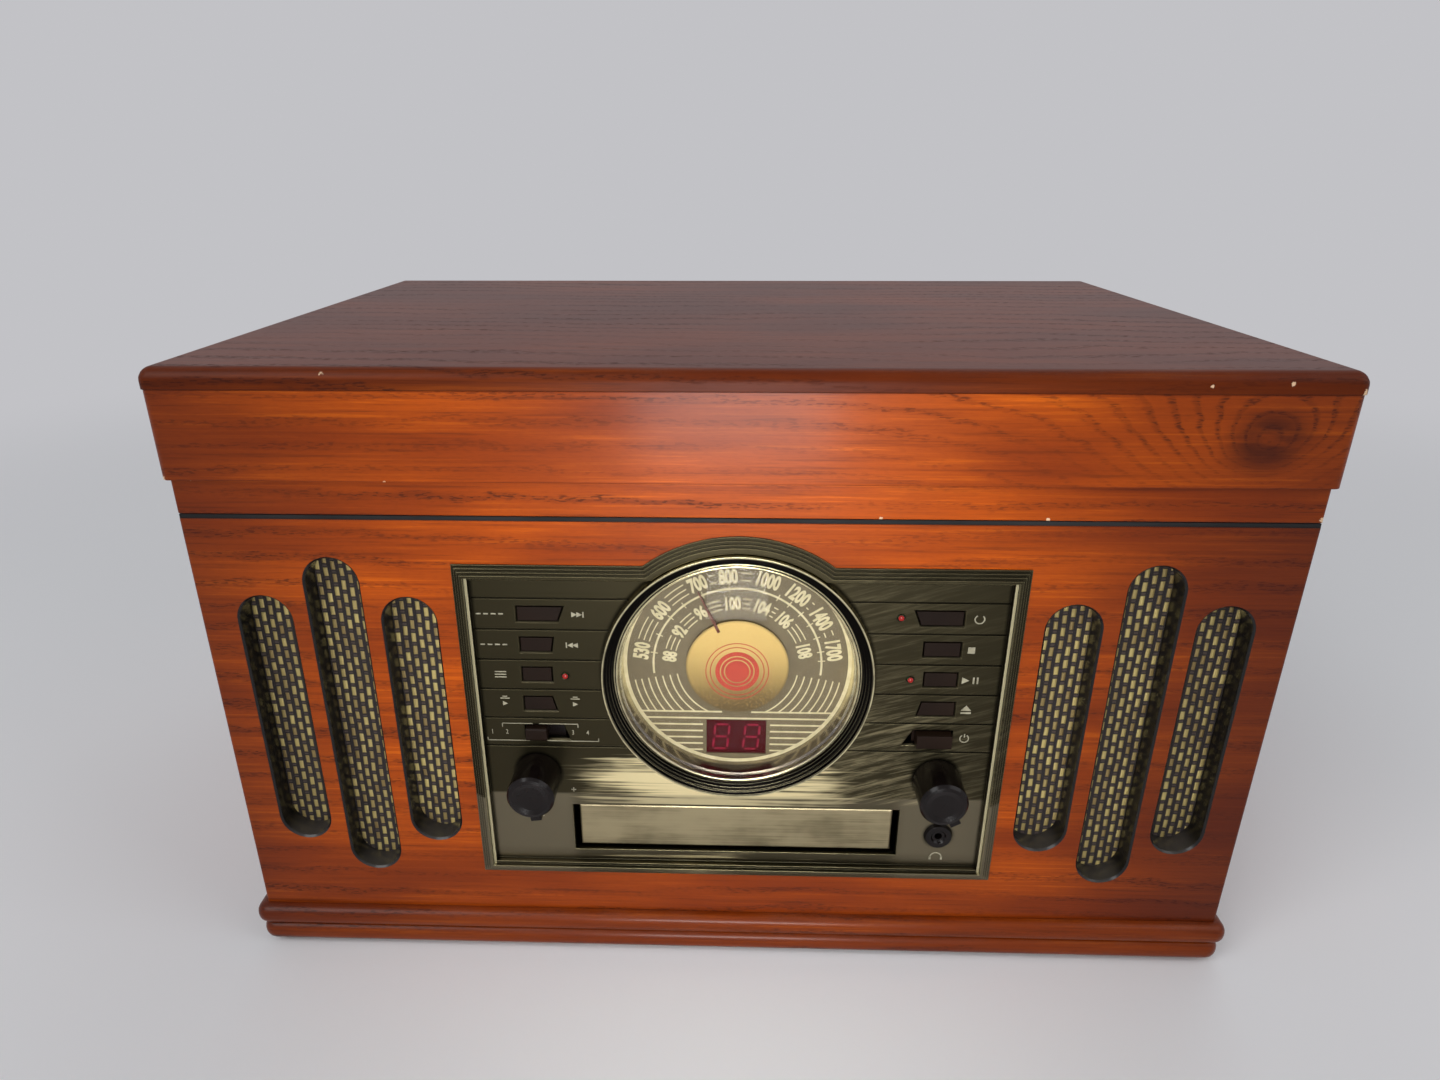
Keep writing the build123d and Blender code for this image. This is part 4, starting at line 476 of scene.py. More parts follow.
def panelMaterial():
    # brushed antique brass with a painted reflection: nearly black between the rows and pale in the band under the
    # dial;
    # dark patina and painted shade in the grooves, and edges rubbed bright, partly a painted highlight
    material, tree, shader = startMaterial("antiqueBrass")
    at = axes(tree, objectPlace(tree))
    side = calc(tree, "ABSOLUTE", at[0])
    bottom = low("control_panel")[2]
    fromMiddle = calc(tree, "ABSOLUTE", calc(tree, "SUBTRACT", at[0], panelSet["bandMiddle"]))
    line = noise(tree, scaled(tree, at[:3], (10.0, 0.0, 620.0)), 1.0, 3.0, 0.6)
    # painted reflection: the band under the dial is painted pale, streaked, fading towards its ends and top
    rubbed = times(tree, remap(tree, fromMiddle, panelSet["bandEnd"], panelSet["bandFull"]),
                   remap(tree, at[2], panelSet["bandTop"], panelSet["bandTop"] - 0.012),
                   calc(tree, "GREATER_THAN", at[2], panelSet["bandLow"] - 0.0055),
                   remap(tree, line, 0.3, 0.55, 0.6, 1.0))
    # painted highlight: the foot of the panel is painted paler, most towards the middle
    foot = times(tree, remap(tree, at[2], 0.0645, 0.061), remap(tree, side, 0.115, 0.02, 0.1, 0.5))
    lowPart = times(tree, remap(tree, at[2], panelSet["bandLow"] + 0.0008, panelSet["bandLow"] - 0.0008),
                    remap(tree, side, 0.074, 0.084, 0.45, 1.0))
    # slanted scuffs right of the dial
    (leanX, leanZ), (scaleX, scaleZ) = panelSet["scuffSlope"], panelSet["scuffScale"]
    turned = stretch(tree, times(tree, calc(tree, "MULTIPLY_ADD", at[2], leanX, at[0]), scaleX), 0.0,
                     times(tree, calc(tree, "MULTIPLY_ADD", at[0], leanZ, at[2]), scaleZ))
    scuff = times(tree, remap(tree, noise(tree, turned, 1.0, 5.0, 0.7), 0.42, 0.74),
                  remap(tree, at[0], 0.03, 0.06), remap(tree, at[0], 0.112, 0.08, 0.3, 1.0),
                  remap(tree, at[2], 0.17, 0.12, 0.2, 1.0), remap(tree, at[2], 0.0915, 0.0945),
                  panelSet["scuffShare"])
    # where neither painted reflection nor painted highlight reaches, the brass is painted nearly black: dark patina
    # and a painted dark reflection
    age = calc(tree, "MULTIPLY_ADD", calc(tree, "MAXIMUM", rubbed, foot), -0.74, 0.98)
    age = calc(tree, "SUBTRACT", age, remap(tree, line, 0.5, 0.78, 0.0, 0.26))
    brushed = useGroup(tree, brushedPatina, {"Clean": panelSet["clean"], "Aged": panelSet["aged"], "Age": age,
                                             "Fine": 1500.0, "Cloud": 16.0, "Rough": 0.24})
    edges = useGroup(tree, edgeWear, {"Radius": 0.0005, "Breakup": 60.0, "Amount": 0.9})
    patinaAndShade = useGroup(tree, cavityPatinaShade, {"Distance": 0.0018, "Power": 3.0})
    film = useGroup(tree, settledDust, {"Amount": 0.12})
    lowGrey = times(tree, lowPart, calc(tree, "SUBTRACT", 0.92, foot, clamp=True))
    colour = blendColour(tree, lowGrey, brushed["Color"], panelSet["grey"])
    colour = blendColour(tree, scuff, colour, panelSet["clean"])
    # the frame's edges are rubbed bright, partly a painted highlight; the grooves between the rows are dark, so their
    # edges are brightened less than the frame's
    field = times(tree, calc(tree, "LESS_THAN", side, panelSet["ledgeFrom"]),
                  between(tree, at[2], panelSet["bandTop"] - 0.004, bottom + panelSet["ledgeHead"] - 0.002))
    edgeRubAndHighlight = times(tree, edges["Edge"], calc(tree, "MULTIPLY_ADD", field, -0.5, 0.8))
    colour = blendColour(tree, edgeRubAndHighlight, colour, panelSet["edge"])
    # grooves and hollows darkened: dark patina and painted shade
    colour = blendColour(tree, times(tree, patinaAndShade["Mask"], 0.95), colour, panelSet["grooveDark"])
    # painted highlight: the ledge inside the frame is painted bright at both sides, and made less metallic
    ledge = times(tree, between(tree, side, panelSet["ledgeFrom"], panelSet["ledgeTo"]),
                  between(tree, at[2], bottom + panelSet["ledgeFoot"], bottom + panelSet["ledgeHead"]))
    colour = blendColour(tree, times(tree, ledge, 0.7), colour, panelSet["ledge"])
    colour = blendColour(tree, film["Mask"], colour, panelSet["film"])
    setShader(tree, shader, {
        "Base Color": colour, "Metallic": calc(tree, "MULTIPLY_ADD", ledge, -0.65, 1.0),
        "Roughness": calc(tree, "MULTIPLY_ADD", rubbed, 0.13, brushed["Roughness"])})
    bumpFrom(tree, shader, brushed["Height"], 0.12, 0.0001, edges["Normal"])
    return material


bezelSet = {"bright": rgb(228, 216, 172), "dull": rgb(150, 142, 116), "black": rgb(20, 18, 16),
            "seat": rgb(104, 98, 106), "bandOuter": 0.0612, "bandInner": 0.0566, "grooveStep": 0.0011,
            "seatFrom": 0.0552, "seatTo": 0.0546}


def bezelMaterial():
    # a bright lip and bead with a black band between them, and fine turned grooves
    material, tree, shader = startMaterial("dialRing")
    place = objectPlace(tree)
    radius = fromAxis(tree, (0.0, 0.0, dialCentre), (1, 0, 1))
    up = axes(tree, place)[2]
    dark = times(tree, remap(tree, radius, bezelSet["bandInner"] - 0.0004, bezelSet["bandInner"] + 0.0004),
                 remap(tree, radius, bezelSet["bandOuter"] + 0.0003, bezelSet["bandOuter"] - 0.0003))
    turning = calc(tree, "SINE", times(tree, radius, 2 * math.pi / bezelSet["grooveStep"]))
    tarnish = noise(tree, place, 70.0, 4.0, 0.65)
    tone = blendColour(tree, remap(tree, tarnish, 0.4, 0.75), bezelSet["bright"], bezelSet["dull"])
    # painted reflection: the turned ribs in the black band show paler towards the bottom
    ribSheen = times(tree, remap(tree, turning, 0.2, 0.9), remap(tree, up, dialCentre + 0.02, dialCentre - 0.045), 0.5)
    tone = blendColour(tree, dark, tone, blendColour(tree, ribSheen, bezelSet["black"], bezelSet["dull"]))
    # painted reflection: the seat round the dome is painted violet grey towards the bottom
    seat = times(tree, remap(tree, radius, bezelSet["seatFrom"], bezelSet["seatTo"]),
                 remap(tree, up, dialCentre, dialCentre - 0.03), 0.75)
    tone = blendColour(tree, seat, tone, bezelSet["seat"])
    setShader(tree, shader, {"Base Color": tone, "Metallic": 1.0,
                             "Roughness": remap(tree, tarnish, 0.3, 0.8, 0.1, 0.26)})
    edges = useGroup(tree, edgeWear, {"Radius": 0.0005})
    bumpFrom(tree, shader, turning, 0.15, 0.00008, edges["Normal"])
    return material


def discMaterial():
    # satin gold centre, turned very finely; brighter at the top and dull towards its lower edge, painted light and
    # shade
    look = {"top": rgb(188, 160, 98), "low": rgb(88, 73, 46), "spot": rgb(176, 143, 84), "rim": rgb(96, 82, 56),
            "rimFrom": 0.0228, "rimTo": 0.0241}
    material, tree, shader = startMaterial("dialGold")
    place = objectPlace(tree)
    speckle = noise(tree, place, 900.0, 3.0, 0.6)
    cloud = noise(tree, place, 60.0, 2.0, 0.5)
    height = calc(tree, "MULTIPLY_ADD", cloud, 0.006, axes(tree, place)[2])
    # painted light and shade: the top colour high on the disc, the low colour towards its lower edge
    tone = blendColour(tree, remap(tree, height, dialCentre + 0.016, dialCentre - 0.022), look["top"], look["low"])
    tone = blendColour(tree, times(tree, remap(tree, speckle, 0.45, 0.7), 0.3), tone, look["spot"])
    rim = remap(tree, fromAxis(tree, (0.0, 0.0, dialCentre), (1, 0, 1)), look["rimFrom"], look["rimTo"], 0.0, 0.6)
    tone = blendColour(tree, rim, tone, look["rim"])
    setShader(tree, shader, {"Base Color": tone, "Metallic": 0.7,
                             "Roughness": remap(tree, speckle, 0.3, 0.7, 0.3, 0.42)})
    bumpFrom(tree, shader, speckle, 0.08, 0.0001)
    return material


def rubberMaterial(name, colour, rings=0.0, dust=0.3):
    # matt rubber; rings above 0 cuts shallow grooves round the spindle, that many metres apart
    look = {"second": rgb(30, 29, 29), "groove": rgb(8, 8, 8), "film": rgb(96, 93, 89), "label": 0.046}
    material, tree, shader = startMaterial(name)
    moulded = useGroup(tree, mouldedGrain, {"Grain": 2200.0, "Rough": 0.72})
    film = useGroup(tree, settledDust, {"Amount": dust})
    tone = blendColour(tree, moulded["Tone"], colour, look["second"])
    height = moulded["Height"]
    if rings:
        radius = fromAxis(tree, (platterAxis[0] * mm, platterAxis[1] * mm, 0.0), (1, 1, 0))
        wave = calc(tree, "SINE", times(tree, radius, 2 * math.pi / rings))
        groove = times(tree, remap(tree, wave, 0.1, 0.7), remap(tree, radius, look["label"], look["label"] + 0.002))
        # painted shade: the grooves are painted darker
        tone = blendColour(tree, times(tree, groove, 0.6), tone, look["groove"])
        height = calc(tree, "MULTIPLY_ADD", groove, -3.0, height)
    tone = blendColour(tree, film["Mask"], tone, look["film"])
    setShader(tree, shader, {"Base Color": tone, "Roughness": moulded["Roughness"], "Specular IOR Level": 0.35})
    bumpFrom(tree, shader, height, 0.3, 0.0002)
    return material


def clothMaterial():
    # black cloth with gold thread: gold dashes are flat strips with a soft metal gleam
    look = {"gold": rgb(136, 114, 70), "paleGold": rgb(200, 180, 114), "dull": rgb(72, 60, 54),
            "black": rgb(22, 19, 20), "thread": rgb(62, 51, 49)}
    material, tree, shader = startMaterial("grilleCloth")
    weave = useGroup(tree, grilleWeave)
    gold = blendColour(tree, weave["Tint"], look["gold"], look["paleGold"])
    ground = blendColour(tree, weave["Weave"], look["black"], look["thread"])
    ground = blendColour(tree, weave["Dull"], ground, look["dull"])
    setShader(tree, shader, {
        "Base Color": blendColour(tree, weave["Thread"], ground, gold),
        "Metallic": times(tree, weave["Thread"], 0.3),
        "Roughness": calc(tree, "MULTIPLY_ADD", weave["Thread"], -0.4, 0.85)})
    bumpFrom(tree, shader, weave["Height"], 0.8, 0.0006)
    return material


def clearMaterial():
    # clear moulded dome; light for shadows passes straight through it
    material, tree, shader = startMaterial("clearDome")
    smears = noise(tree, objectPlace(tree), 60.0, 4.0, 0.65)
    setShader(tree, shader, {"Base Color": (0.98, 0.975, 0.96, 1), "Transmission Weight": 1.0, "IOR": 1.09,
                             "Roughness": remap(tree, smears, 0.5, 0.8, 0.0, 0.05)})
    path = addNode(tree, "LightPath").outputs
    passing = calc(tree, "MAXIMUM", path["Is Shadow Ray"], path["Is Diffuse Ray"])
    mixShader(tree, passing, shader, addNode(tree, "BsdfTransparent"))
    return material


def printMaterial(name, colour, second):
    # thin screen-printed ink, slightly uneven
    material, tree, shader = startMaterial(name)
    place = objectPlace(tree)
    patch = noise(tree, place, 260.0, 3.0, 0.6)
    fine = noise(tree, place, 3000.0, 1.0, 0.5)
    setShader(tree, shader, {"Base Color": blendColour(tree, remap(tree, patch, 0.35, 0.7), colour, second),
                             "Roughness": calc(tree, "MULTIPLY_ADD", fine, 0.15, 0.5)})
    bumpFrom(tree, shader, fine, 0.1, 0.00005)
    return material


def windowMaterial(name, colour, second, glow):
    # dark red window with a faint glow of its own
    material, tree, shader = startMaterial(name)
    patch = noise(tree, objectPlace(tree), 120.0, 2.0, 0.5)
    tone = blendColour(tree, patch, colour, second)
    setShader(tree, shader, {
        "Base Color": tone, "Roughness": remap(tree, patch, 0.3, 0.7, 0.12, 0.22), "Coat Weight": 0.1,
        "Coat Roughness": 0.08, "Specular IOR Level": 0.25, "Emission Color": tone, "Emission Strength": glow})
    bumpFrom(tree, shader, patch, 0.03, 0.0001)
    return material


def boardMaterial():
    # green lacquered board with copper tracks showing through; its faces that look to the front are painted near
    # black: painted shade
    look = {"sheet": rgb(12, 11, 11), "mask": rgb(22, 74, 42), "track": rgb(44, 110, 60), "copper": rgb(176, 120, 70)}
    material, tree, shader = startMaterial("circuitBoard")
    place = objectPlace(tree)
    cells = addNode(tree, "TexVoronoi", {"Vector": place, "Scale": 180.0}, distance="MANHATTAN",
                    feature="DISTANCE_TO_EDGE").outputs["Distance"]
    dots = addNode(tree, "TexVoronoi", {"Vector": place, "Scale": 260.0}).outputs["Distance"]
    solder = remap(tree, dots, 0.16, 0.1)
    moulded = useGroup(tree, mouldedGrain, {"Grain": 900.0, "Rough": 0.3})
    sheet = remap(tree, axes(tree, faceNormal(tree))[1], -0.6, -0.8)
    tone = blendColour(tree, remap(tree, cells, 0.1, 0.06), look["mask"], look["track"])
    tone = blendColour(tree, solder, tone, look["copper"])
    tone = blendColour(tree, sheet, tone, look["sheet"])
    setShader(tree, shader, {
        "Base Color": tone, "Metallic": times(tree, solder, calc(tree, "SUBTRACT", 1.0, sheet)),
        "Roughness": calc(tree, "MULTIPLY_ADD", sheet, 0.45, moulded["Roughness"], clamp=True)})
    bumpFrom(tree, shader, cells, 0.2, 0.0002)
    return material


def coneMaterial():
    # pressed paper cone and painted frame
    material, tree, shader = startMaterial("speakerPaper")
    place = objectPlace(tree)
    fibre = noise(tree, place, 700.0, 4.0, 0.7)
    cloud = noise(tree, place, 40.0, 3.0, 0.5)
    setShader(tree, shader, {"Base Color": blendColour(tree, cloud, rgb(24, 22, 21), rgb(44, 40, 38)),
                             "Roughness": remap(tree, fibre, 0.3, 0.7, 0.6, 0.9)})
    bumpFrom(tree, shader, fibre, 0.5, 0.0003)
    return material


def fibreMaterial():
    # pressed fibre board of the floor inside: pale fibres lying every way over a brown ground
    look = {"ground": rgb(96, 66, 44), "fibre": rgb(140, 104, 72), "dark": rgb(58, 38, 26)}
    material, tree, shader = startMaterial("fibreBoard")
    place = objectPlace(tree)
    cloud = noise(tree, place, 26.0, 3.0, 0.6)
    strands = addNode(tree, "TexVoronoi", {"Vector": place, "Scale": 520.0}, distance="MANHATTAN").outputs["Distance"]
    specks = noise(tree, place, 1800.0, 2.0, 0.6)
    tone = blendColour(tree, remap(tree, cloud, 0.3, 0.7), look["ground"], look["dark"])
    tone = blendColour(tree, times(tree, remap(tree, strands, 0.5, 0.2), 0.5), tone, look["fibre"])
    setShader(tree, shader, {"Base Color": tone, "Roughness": remap(tree, specks, 0.3, 0.7, 0.7, 0.9)})
    bumpFrom(tree, shader, specks, 0.4, 0.0002)
    return material


# places and sizes of the chips of bare wood at the lid's edges
lidChips = [((-0.170, -0.1642, 0.3021), 0.0017), ((0.245, -0.1645, 0.2952), 0.0016),
            ((0.216, -0.1640, 0.2985), 0.0010), ((0.185, -0.1642, 0.2975), 0.0008),
            ((-0.2455, -0.1636, 0.2557), 0.0016), ((-0.150, -0.1640, 0.2552), 0.0008)]
bandChips = [((0.2435, -0.1610, 0.2412), 0.0016), ((0.06, -0.1612, 0.2402), 0.0008),
             ((0.13, -0.1612, 0.2402), 0.0009), ((-0.235, -0.1612, 0.2554), 0.0009)]
woods = {
    # the front has the most painted shade at its ends, centred a little to the left by lean
    "cherryFront": {"ring": 0.0125, "warp": 0.02, "shift": 0.7, "slots": True, "wear": 0.2, "ends": 0.76,
                    "lean": 0.03},
    "cherrySide": {"ring": 0.0125, "warp": 0.04, "shift": 0.2, "wear": 0.25, "ends": 0.2},
    "cherryBack": {"ring": 0.0125, "warp": 0.03, "shift": 1.9, "wear": 0.25, "darken": 0.15, "ends": 0.3},
    # the lid's top is darkened towards the shade colour: painted shade, as the light only grazes it
    "cherryTop": {"ring": 0.0105, "warp": 0.035, "shift": 3.1, "wear": 0.3, "chips": lidChips, "dust": 0.1,
                  "darken": 0.68, "gloss": 0.0, "ends": 0.2},
    "cherryApron": {"ring": 0.0098, "warp": 0.011, "shift": 0.0, "knot": (0.212, 0.275), "wear": 0.45,
                    "chips": lidChips},
    "cherryBand": {"ring": 0.009, "warp": 0.012, "shift": 1.3, "wear": 0.45, "chips": bandChips},
    "cherryBase": {"ring": 0.01, "warp": 0.02, "shift": 2.2, "wear": 0.25, "darken": 0.3},
}
metals = {
    "zincSteel": {"clean": rgb(190, 188, 184), "aged": rgb(120, 116, 108), "age": 0.35, "rough": 0.28, "cloud": 40.0},
    "drawerBrass": {"clean": rgb(164, 152, 120), "aged": rgb(112, 103, 79), "age": 0.45, "rough": 0.3,
                    "fine": 1500.0, "cloud": 30.0, "bump": 0.12},
    "castAluminium": {"clean": rgb(214, 213, 210), "aged": rgb(160, 158, 154), "age": 0.2, "rough": 0.24,
                      "fine": 700.0, "cloud": 30.0},
    "blackSteel": {"clean": rgb(86, 84, 82), "aged": rgb(40, 39, 38), "age": 0.5, "rough": 0.34, "cloud": 60.0},
}
plastics = {
    "needleBrown": {"colour": rgb(86, 44, 32), "second": rgb(104, 56, 40), "rough": 0.25, "coat": 0.6, "wear": 0.1},
    "buttonBrown": {"colour": rgb(24, 15, 10), "second": rgb(31, 20, 13), "wear": 0.15, "dust": 0.0, "shine": 0.1},
    "glossBlack": {"colour": rgb(12, 8, 7), "second": rgb(18, 12, 11), "rough": 0.24, "coat": 0.2, "wear": 0.06,
                   "bump": 0.04, "dust": 0.0, "shine": 0.12},
    "blackPlastic": {"colour": rgb(24, 23, 23), "second": rgb(33, 31, 30), "rough": 0.48, "grain": 1100.0,
                     "bump": 0.2, "dust": 0.12},
    "deckPlastic": {"colour": rgb(27, 26, 26), "second": rgb(34, 32, 32), "rough": 0.46, "grain": 900.0,
                    "bump": 0.3, "dust": 0.12},
    "jackRed": {"colour": rgb(176, 26, 22), "second": rgb(192, 38, 30), "rough": 0.35, "coat": 0.3, "wear": 0.1},
    "jackWhite": {"colour": rgb(224, 220, 210), "second": rgb(212, 207, 196), "coat": 0.3, "wear": 0.1},
}
rubbers = {
    "blackRubber": {"colour": rgb(22, 21, 21)}, "matRubber": {"colour": rgb(24, 23, 23), "rings": 0.0052},
    "feltBlack": {"colour": rgb(10, 9, 9), "dust": 0.0},
}
inks = {
    "dialOlive": {"colour": rgb(87, 76, 50), "second": rgb(96, 84, 57)},
    "creamInk": {"colour": rgb(184, 173, 134), "second": rgb(200, 189, 152)},
    "redInk": {"colour": rgb(154, 42, 16), "second": rgb(166, 50, 22)},
    "paleInk": {"colour": rgb(132, 126, 104), "second": rgb(156, 150, 126)},
}
windows = {
    "windowRed": {"colour": rgb(54, 2, 5), "second": rgb(64, 4, 8), "glow": 0.04},
    "segmentPink": {"colour": rgb(116, 12, 36), "second": rgb(130, 20, 46), "glow": 0.1},
    "lampRed": {"colour": rgb(128, 20, 16), "second": rgb(150, 34, 26), "glow": 0.05},
}
materials = {}
for maker, looks in ((woodMaterial, woods), (metalMaterial, metals), (plasticMaterial, plastics),
                     (rubberMaterial, rubbers), (printMaterial, inks), (windowMaterial, windows)):
    materials.update({name: maker(name, **look) for name, look in looks.items()})
for maker in (panelMaterial, bezelMaterial, discMaterial, clothMaterial, clearMaterial, boardMaterial, coneMaterial,
              fibreMaterial):
    made = maker()
    materials[made.name] = made

# the CAD nodes' own slots by name, and the nodes that need a finish of their own
slotMaterials = {
    "cherry_wood": "cherrySide", "black_rubber": "blackRubber", "steel": "zincSteel", "grille_cloth": "grilleCloth",
    "speaker_black": "speakerPaper", "antique_brass": "antiqueBrass", "dial_metal": "dialRing",
    "clear_plastic": "clearDome", "dial_face": "dialOlive", "gold_disc": "dialGold", "pointer_metal": "needleBrown",
    "red_window": "windowRed", "button_brown": "buttonBrown", "gloss_black": "glossBlack",
    "circuit_board": "circuitBoard", "black_plastic": "blackPlastic", "aluminium": "castAluminium",
}
nodeMaterials = {
    "front_panel": "cherryFront", "rear_panel": "cherryBack", "bottom_board": "fibreBoard",
    "base_moulding": "cherryBase", "lid_top_board": "cherryTop", "lid_apron": "cherryApron",
    "lid_band": "cherryBand", "cd_door": "drawerBrass", "turntable_deck": "deckPlastic", "platter_mat": "matRubber",
}
for name, piece in nodes.items():
    for slot in piece.material_slots:
        plain = slot.material.name.split(".")[0] if slot.material else ""
        wanted = nodeMaterials.get(name) or slotMaterials.get(plain, "blackPlastic")
        if name not in nodeMaterials and plain not in slotMaterials:
            print("no finish for", name, plain)
        slot.material = materials[wanted]


def gridFaces(rows, columns, wrapRows=False, wrapColumns=False):
    # quads between each row and the next, and each column and the next, joined round where asked
    index = np.arange(rows * columns).reshape(rows, columns)
    if wrapRows:
        index = np.vstack([index, index[:1]])
    if wrapColumns:
        index = np.hstack([index, index[:, :1]])
    corners = [index[:-1, :-1], index[:-1, 1:], index[1:, 1:], index[1:, :-1]]
    return [tuple(face) for face in np.stack([corner.ravel() for corner in corners], axis=1).tolist()]


def tube(path, sides, profile, closed=False):
    # a profile carried along a path: point = path + profile x * side vector + profile y * up vector
    path = np.asarray(path, float)
    along, up = (profile[None, :, part, None] * sides[part][:, None, :] for part in (0, 1))
    faces = gridFaces(len(path), len(profile), closed, True)
    if not closed:
        faces.append(tuple(range(len(profile)))[::-1])
        last = (len(path) - 1) * len(profile)
        faces.append(tuple(range(last, last + len(profile))))
    return (path[:, None, :] + along + up).reshape(-1, 3), faces


def acrossAxis(axis):
    # two directions across an axis and across each other
    first = np.array([1.0, 0, 0]) if abs(axis[0]) < 0.5 else np.array([0, 1.0, 0])
    return first, np.cross(axis, first)


def lathe(profile, centre, axis, steps=48):
    # a profile of (radius, height) turned round an axis: centre + height * axis + radius * (cos, sin) across it
    axis = np.asarray(axis, float)
    first, second = acrossAxis(axis)
    turn = np.linspace(0, 2 * np.pi, steps, endpoint=False)
    profile = np.asarray(profile, float)
    ring = np.cos(turn)[:, None] * first + np.sin(turn)[:, None] * second
    points = np.asarray(centre) + profile[:, 1, None, None] * axis + profile[:, 0, None, None] * ring[None]
    return points.reshape(-1, 3), gridFaces(len(profile), steps, False, True)


def prism(outline, place, thickness):
    # a flat outline given a thickness: front points and the same points further back, place() puts them in space
    outline = np.asarray(outline, float)
    count = len(outline)
    points = np.vstack([place(outline, 0.0), place(outline, thickness)])
    faces = [tuple(range(count)), tuple(range(2 * count - 1, count - 1, -1))]
    faces += [(i, (i + 1) % count, (i + 1) % count + count, i + count) for i in range(count)]
    return points, faces


def turnedFlat(flat, angle):
    # flat (right, up) points turned clockwise by an angle in degrees
    cosine, sine = math.cos(math.radians(angle)), math.sin(math.radians(angle))
    return flat[:, 0] * cosine + flat[:, 1] * sine, flat[:, 1] * cosine - flat[:, 0] * sine


def onFront(y, centreX=0.0, centreZ=0.0, angle=0.0):
    # maps flat points to a face that looks to the front
    def place(flat, back):
        right, up = turnedFlat(flat, angle)
        return np.stack([centreX + right, np.full(len(flat), y + back), centreZ + up], axis=1)
    return place


def onTop(z, centreX=0.0, centreY=0.0, angle=0.0):
    # the same for a face that looks up, seen from the front
    def place(flat, down):
        right, up = turnedFlat(flat, angle)
        return np.stack([centreX + right, centreY + up, np.full(len(flat), z - down)], axis=1)
    return place


def arcBand(radius, width, start, end, y, thickness, centreZ, steps=None):
    # a flat band along an arc: angles in degrees clockwise from the top
    full = abs(end - start) >= 360
    steps = steps or max(6, int(abs(end - start) / 3))
    turn = np.radians(np.linspace(start, end, steps + 1))
    if full:
        turn = turn[:-1]
    out = np.stack([np.sin(turn), np.zeros_like(turn), np.cos(turn)], axis=1)
    path = np.array([0, y + thickness / 2, centreZ]) + out * radius
    back = np.tile([0.0, 1.0, 0.0], (len(turn), 1))
    half, deep = width / 2, thickness / 2
    profile = np.array([(-half, -deep), (half, -deep), (half, deep), (-half, deep)])
    return tube(path, (out, back), profile, closed=full)


def bar(start, end, width, y, thickness):
    # a straight flat line between two (x, z) points on a face that looks to the front
    start, end = np.array(start, float), np.array(end, float)
    along = (end - start) / np.linalg.norm(end - start)
    side = np.array([-along[1], along[0]]) * width / 2
    return prism([start + side, start - side, end - side, end + side], onFront(y), thickness)


def newObject(name, data):
    made = bpy.data.objects.new(name, data)
    bpy.context.scene.collection.objects.link(made)
    return made


def textShell(words, size, place, thickness, squeeze=0.62, weight=0.02):
    # the outline of the built-in letters, made a mesh, squeezed narrower and put on a face by place()
    curve = bpy.data.curves.new("letters", "FONT")
    curve.body = words
    curve.align_x = curve.align_y = "CENTER"
    curve.size = 1.0
    curve.offset = weight
    curve.resolution_u = 3
    curve.extrude = 0.5
    holder = newObject("letters", curve)
    bpy.context.view_layer.update()
    mesh = bpy.data.meshes.new_from_object(holder.evaluated_get(bpy.context.evaluated_depsgraph_get()))
    points = np.array([vertex.co for vertex in mesh.vertices])
    faces = [tuple(face.vertices) for face in mesh.polygons]
    bpy.data.objects.remove(holder)
    bpy.data.curves.remove(curve)
    bpy.data.meshes.remove(mesh)
    tall = np.ptp(points[:, 1])
    middle = (points[:, 1].max() + points[:, 1].min()) / 2
    flat = np.stack([points[:, 0] * squeeze, points[:, 1] - middle], axis=1) * (size / tall)
    share = 0.5 - points[:, 2:3]
    return place(flat, 0.0) * (1 - share) + place(flat, thickness) * share, faces


def addPiece(name, shells, material, body, smooth=False, tidy=True):
    # joins the shells into one mesh, welds doubled points, turns the faces outwards and lets it ride on a body
    points = np.concatenate([np.asarray(shell[0]) for shell in shells])
    faces = []
    start = 0
    for shellPoints, shellFaces in shells:
        faces += [tuple(corner + start for corner in face) for face in shellFaces]
        start += len(shellPoints)
    mesh = bpy.data.meshes.new(name)
    mesh.from_pydata(points.tolist(), [], faces)
    work = bmesh.new()
    work.from_mesh(mesh)
    if tidy:
        bmesh.ops.remove_doubles(work, verts=work.verts, dist=1e-6)
        bmesh.ops.dissolve_degenerate(work, edges=work.edges, dist=1e-7)
    bmesh.ops.recalc_face_normals(work, faces=work.faces)
    work.to_mesh(mesh)
    work.free()
    if smooth:
        mesh.shade_smooth()
        mesh.set_sharp_from_angle(angle=math.radians(38))
    mesh.materials.append(materials[material])
    piece = newObject(name, mesh)
    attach(piece, body)


print("stage: dial print")
ink = 0.00008  # thickness of printed ink
plateInk = low("dial_plate")[1] - ink
discInk = low("dial_disc")[1] - ink
dialZ = float(low("dial_disc")[2] + high("dial_disc")[2]) / 2

